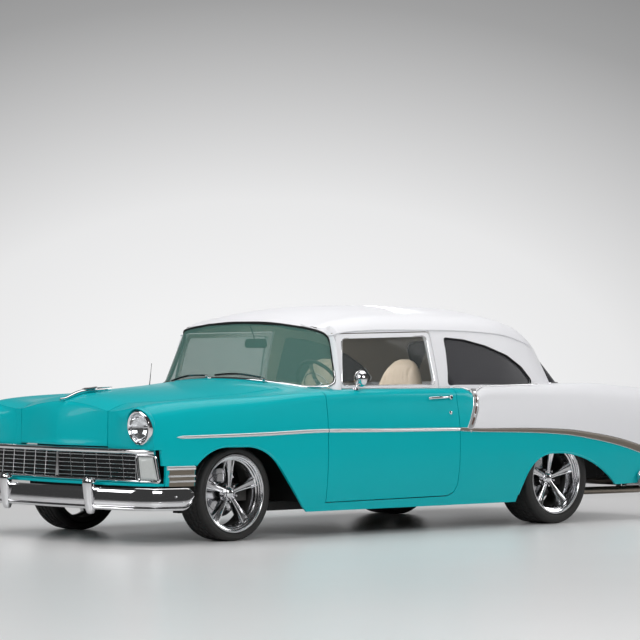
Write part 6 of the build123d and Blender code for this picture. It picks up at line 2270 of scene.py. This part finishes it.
@dataclass
class DoorMirror:
    """Round bright mirror on the left door."""

    centre: Point = (882.0, -632.0, 1000.0)

    def build(self) -> None:
        """Head, stem and foot as one piece."""
        x, y, z = self.centre
        head = turned("head", [(-24, 0), (-22, 18), (-16, 36), (-6, 48), (6, 53), (14, 53.5),
                               (17, 51), (14, 48), (10, 47), (8, 0)], self.centre, 56, (0, 1, 0),
                      closed=False)
        stem = Moulding.sweep("stem", [(874, -662, 930), (876, -660, 948), (878, -650, 962),
                                       (x, y - 8, z - 40)], 15, 13, CHROME)
        foot = turned("foot", [(-4, 0), (-4, 20), (4, 19), (9, 12), (12, 0)], (874, -662, 933), 32,
                      (0, 0, 1), closed=False)
        for piece in (head, foot):
            piece.data.materials.append(CHROME.build())
        attach(joined("door_mirror_piece", [head, stem, foot]), "door_left", Slot.CHROME,
               "door_mirror")


@dataclass
class Studio:
    """Pale floor, backdrop, soft lights and the photograph's camera; none is part of the car."""

    eye: Point = (14.307, -13.7305, 1.1976)
    yaw: float = 2.3822
    pitch: float = 0.0094
    roll: float = 0.0048
    lens: float = 164.74

    def camera(self) -> None:
        """Camera at the photograph's place."""
        forward = Vector((math.cos(self.pitch) * math.cos(self.yaw),
                          math.cos(self.pitch) * math.sin(self.yaw), math.sin(self.pitch)))
        right = Vector((math.sin(self.yaw), -math.cos(self.yaw), 0))
        up = right.cross(forward)
        side = right * math.cos(self.roll) + up * math.sin(self.roll)
        top = -right * math.sin(self.roll) + up * math.cos(self.roll)
        data = bpy.data.cameras.new("camera")
        data.lens, data.sensor_width, data.clip_end = self.lens, 36.0, 300.0
        made = linked("camera", data)
        turn = Matrix((side, top, -forward)).transposed().to_4x4()
        made.matrix_world = Matrix.Translation(self.eye) @ turn
        bpy.context.scene.camera = made

    def shown_colour(self, name: str, tall: float, wide: float,
                     stops: Sequence[tuple[float, float]]) -> bpy.types.Material:
        """Backdrop material: a grey that fades away from a painted pool of light, for the camera.

        Args:
            name: Material name.
            tall: Height of the pool's rim, in metres.
            wide: Half width of the pool's rim, in metres.
            stops: Places from 0 at the pool's middle to 1, and their grey values.

        Returns:
            The material.
        """
        made = bpy.data.materials.new(name)
        made.use_nodes = True
        graph = Graph(made.node_tree)
        graph.nodes.clear()
        place = graph.add("ShaderNodeTexCoord")
        scaled = graph.add("ShaderNodeMapping", {"Rotation": (0, 0, math.pi / 2 - self.yaw)})
        squash = graph.add("ShaderNodeVectorMath", {1: (1 / wide, 0.0, 1 / tall)},
                           operation="MULTIPLY")
        shift = graph.add("ShaderNodeVectorMath", {1: (0.05, 0.0, 0.0)})
        reach = graph.add("ShaderNodeVectorMath", operation="LENGTH")
        ramp = graph.add("ShaderNodeValToRGB")
        while len(ramp.color_ramp.elements) < len(stops):
            ramp.color_ramp.elements.new(0.5)
        for element, (where, grey) in zip(ramp.color_ramp.elements, stops):
            element.position = where
            element.color = (grey, grey, grey * 1.005, 1)
        path = graph.add("ShaderNodeLightPath")
        seen, through = (graph.add("ShaderNodeMath", operation="MAXIMUM") for _ in range(2))
        glow = graph.add("ShaderNodeEmission")
        dark = graph.add("ShaderNodeBsdfDiffuse", {"Color": (0.5, 0.5, 0.5, 1)})
        surface = graph.add("ShaderNodeNewGeometry")
        clear = graph.add("ShaderNodeBsdfTransparent")
        pick, behind = (graph.add("ShaderNodeMixShader") for _ in range(2))
        out = graph.add("ShaderNodeOutputMaterial")
        graph.join((place, "Object", scaled, "Vector"), (scaled, "Vector", squash, 0),
                   (squash, "Vector", shift, 0), (shift, "Vector", reach, 0),
                   (reach, "Value", ramp, "Fac"), (ramp, "Color", glow, "Color"),
                   (path, "Is Camera Ray", seen, 0), (path, "Is Glossy Ray", seen, 1),
                   (seen, "Value", through, 0), (path, "Is Transmission Ray", through, 1),
                   (through, "Value", pick, "Fac"), (dark, "BSDF", pick, 1),
                   (glow, "Emission", pick, 2), (surface, "Backfacing", behind, "Fac"),
                   (pick, "Shader", behind, 1), (clear, "BSDF", behind, 2),
                   (behind, "Shader", out, "Surface"))
        return made

    def build(self) -> None:
        """Make the stage, the lamps and the camera."""
        floor = new_object("floor", [(-60, -60, 0), (60, -60, 0), (60, 60, 0), (-60, 60, 0)],
                           [(0, 1, 2, 3)], scale=1.0, smooth=None)
        cover = Finish("studio_floor", (0.74, 0.735, 0.735), (0.71, 0.705, 0.705), 0.30,
                       grain_scale=0.8, bump=0.0, rough_spread=0.04)
        floor.data.materials.append(cover.build())
        wall_y = 21.0
        axis = Vector((math.cos(self.yaw), math.sin(self.yaw), 0))
        side = Vector((-axis.y, axis.x, 0))
        points = []
        for u in (-60, 60):
            for z in (0.0, 26.0):
                points.append(axis * wall_y + side * u + Vector((0, 0, z)))
        wall = new_object("wall", points, [(0, 1, 3, 2)], scale=1.0, smooth=None)
        # Backdrop with a painted pool of light that darkens towards its edges and top corners.
        wall.data.materials.append(self.shown_colour(
            "studio_wall", 9.6, 15.5, ((0.0, 0.89), (0.19, 0.885), (0.34, 0.807), (0.485, 0.578),
                                       (0.63, 0.356), (0.75, 0.26), (1.0, 0.15))))
        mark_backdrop(floor, wall)
        self.lamp("sky_box", (0.3, 0.0, 5.2), (0, 0, 0), (7.5, 4.2), 208)
        self.lamp("key_box", (8.5, -6.5, 5.0), (0, 0, 0.6), (7.0, 3.2), 475)
        self.lamp("tail_box", (5.0, 8.5, 4.0), (0, 0.8, 0.6), (5.0, 3.0), 220)
        self.lamp("nose_box", (-3.5, -9.5, 4.2), (0, -1.0, 0.6), (5.0, 3.0), 220)
        world = bpy.data.worlds.new("studio_air")
        bpy.context.scene.world = world
        world.use_nodes = True
        self.air(world)
        self.lamp("cabin_fill", (0, -0.2, 1.36), (0, 0.1, 0.4), (1.0, 0.9), 14)
        self.camera()
        view = bpy.context.scene.view_settings
        view.view_transform = "Standard"

    @staticmethod
    def air(world: bpy.types.World) -> None:
        """Even soft light, which mirror-like surfaces see as a dark room."""
        graph = Graph(world.node_tree)
        path = graph.add("ShaderNodeLightPath")
        pick = graph.add("ShaderNodeMix", {"A": 0.29, "B": 0.05})
        back = graph.nodes["Background"]
        back.inputs["Color"].default_value = (1.0, 1.0, 1.0, 1)
        graph.join((path, "Is Glossy Ray", pick, "Factor"), (pick, "Result", back, "Strength"))

    def lamp(self, name: str, place: Point, target: Point, size: Pair, power: float) -> None:
        """Large soft rectangular lamp that faces a target."""
        data = bpy.data.lights.new(name, "AREA")
        data.shape, data.size, data.size_y, data.energy = "RECTANGLE", *size, power
        made = linked(name, data)
        made.location = place
        made.rotation_euler = (Vector(target) - Vector(place)).to_track_quat("-Z", "Y").to_euler()


CAD_FINISHES: dict[str, Finish] = {
    "frame": UNDERSIDE_BLACK_AND_SHADE, "floor_pan": UNDERSIDE_BLACK_AND_SHADE, "engine": CAST_IRON, "radiator": CORE_BLACK,
    "exhaust": PIPE_STEEL, "rear_axle": UNDERSIDE_BLACK_AND_SHADE, "windscreen": SCREEN,
    "rear_window": SMOKED, "grille": CHROME, "headlamps": CHROME, "tail_lamps": RED,
    "front_bumper": CHROME, "rear_bumper": CHROME, "dashboard": DASH,
    "steering_wheel": DASH, "front_seats": LEATHER, "rear_seat": LEATHER, "door_mirror": CHROME,
    "knuckle_left": CAST_IRON, "knuckle_right": CAST_IRON,
}


def dress_frame() -> None:
    """Give every carried-over CAD node its finish."""
    for name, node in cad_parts.items():
        finish = CAD_FINISHES.get(name)
        if finish is None:
            finish = RUBBER if "tyre" in name else ALLOY if "rim" in name else UNDERSIDE_BLACK_AND_SHADE
        dress(node, finish)


def corners() -> list[list[float]]:
    """Lowest and highest corner of what is shown, as plain numbers."""
    return [[float(c) for c in corner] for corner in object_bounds()]


def main() -> None:
    """Build the stage and every sub-assembly."""
    logging.basicConfig(level=logging.INFO)
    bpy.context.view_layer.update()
    dress_frame()
    body = BodyForm()
    cabin = CabinForm()
    glasses = (windscreen(body), back_window(body))
    Shell(body, cabin, glasses).build()
    for glass in glasses:
        glass.build()
    ScreenFittings(glasses[0], body, cabin).build()
    build_wheels()
    Bumper(-1).build()
    Bumper(1).build()
    Grille().build()
    Lamps().build()
    SideTrim(body, cabin).build()
    DoorMirror().build()
    Ornament(body).build()
    Dash().build()
    Upholstery(body, cabin).build(glasses[1])
    Studio().build()


if __name__ == "__main__":
    main()
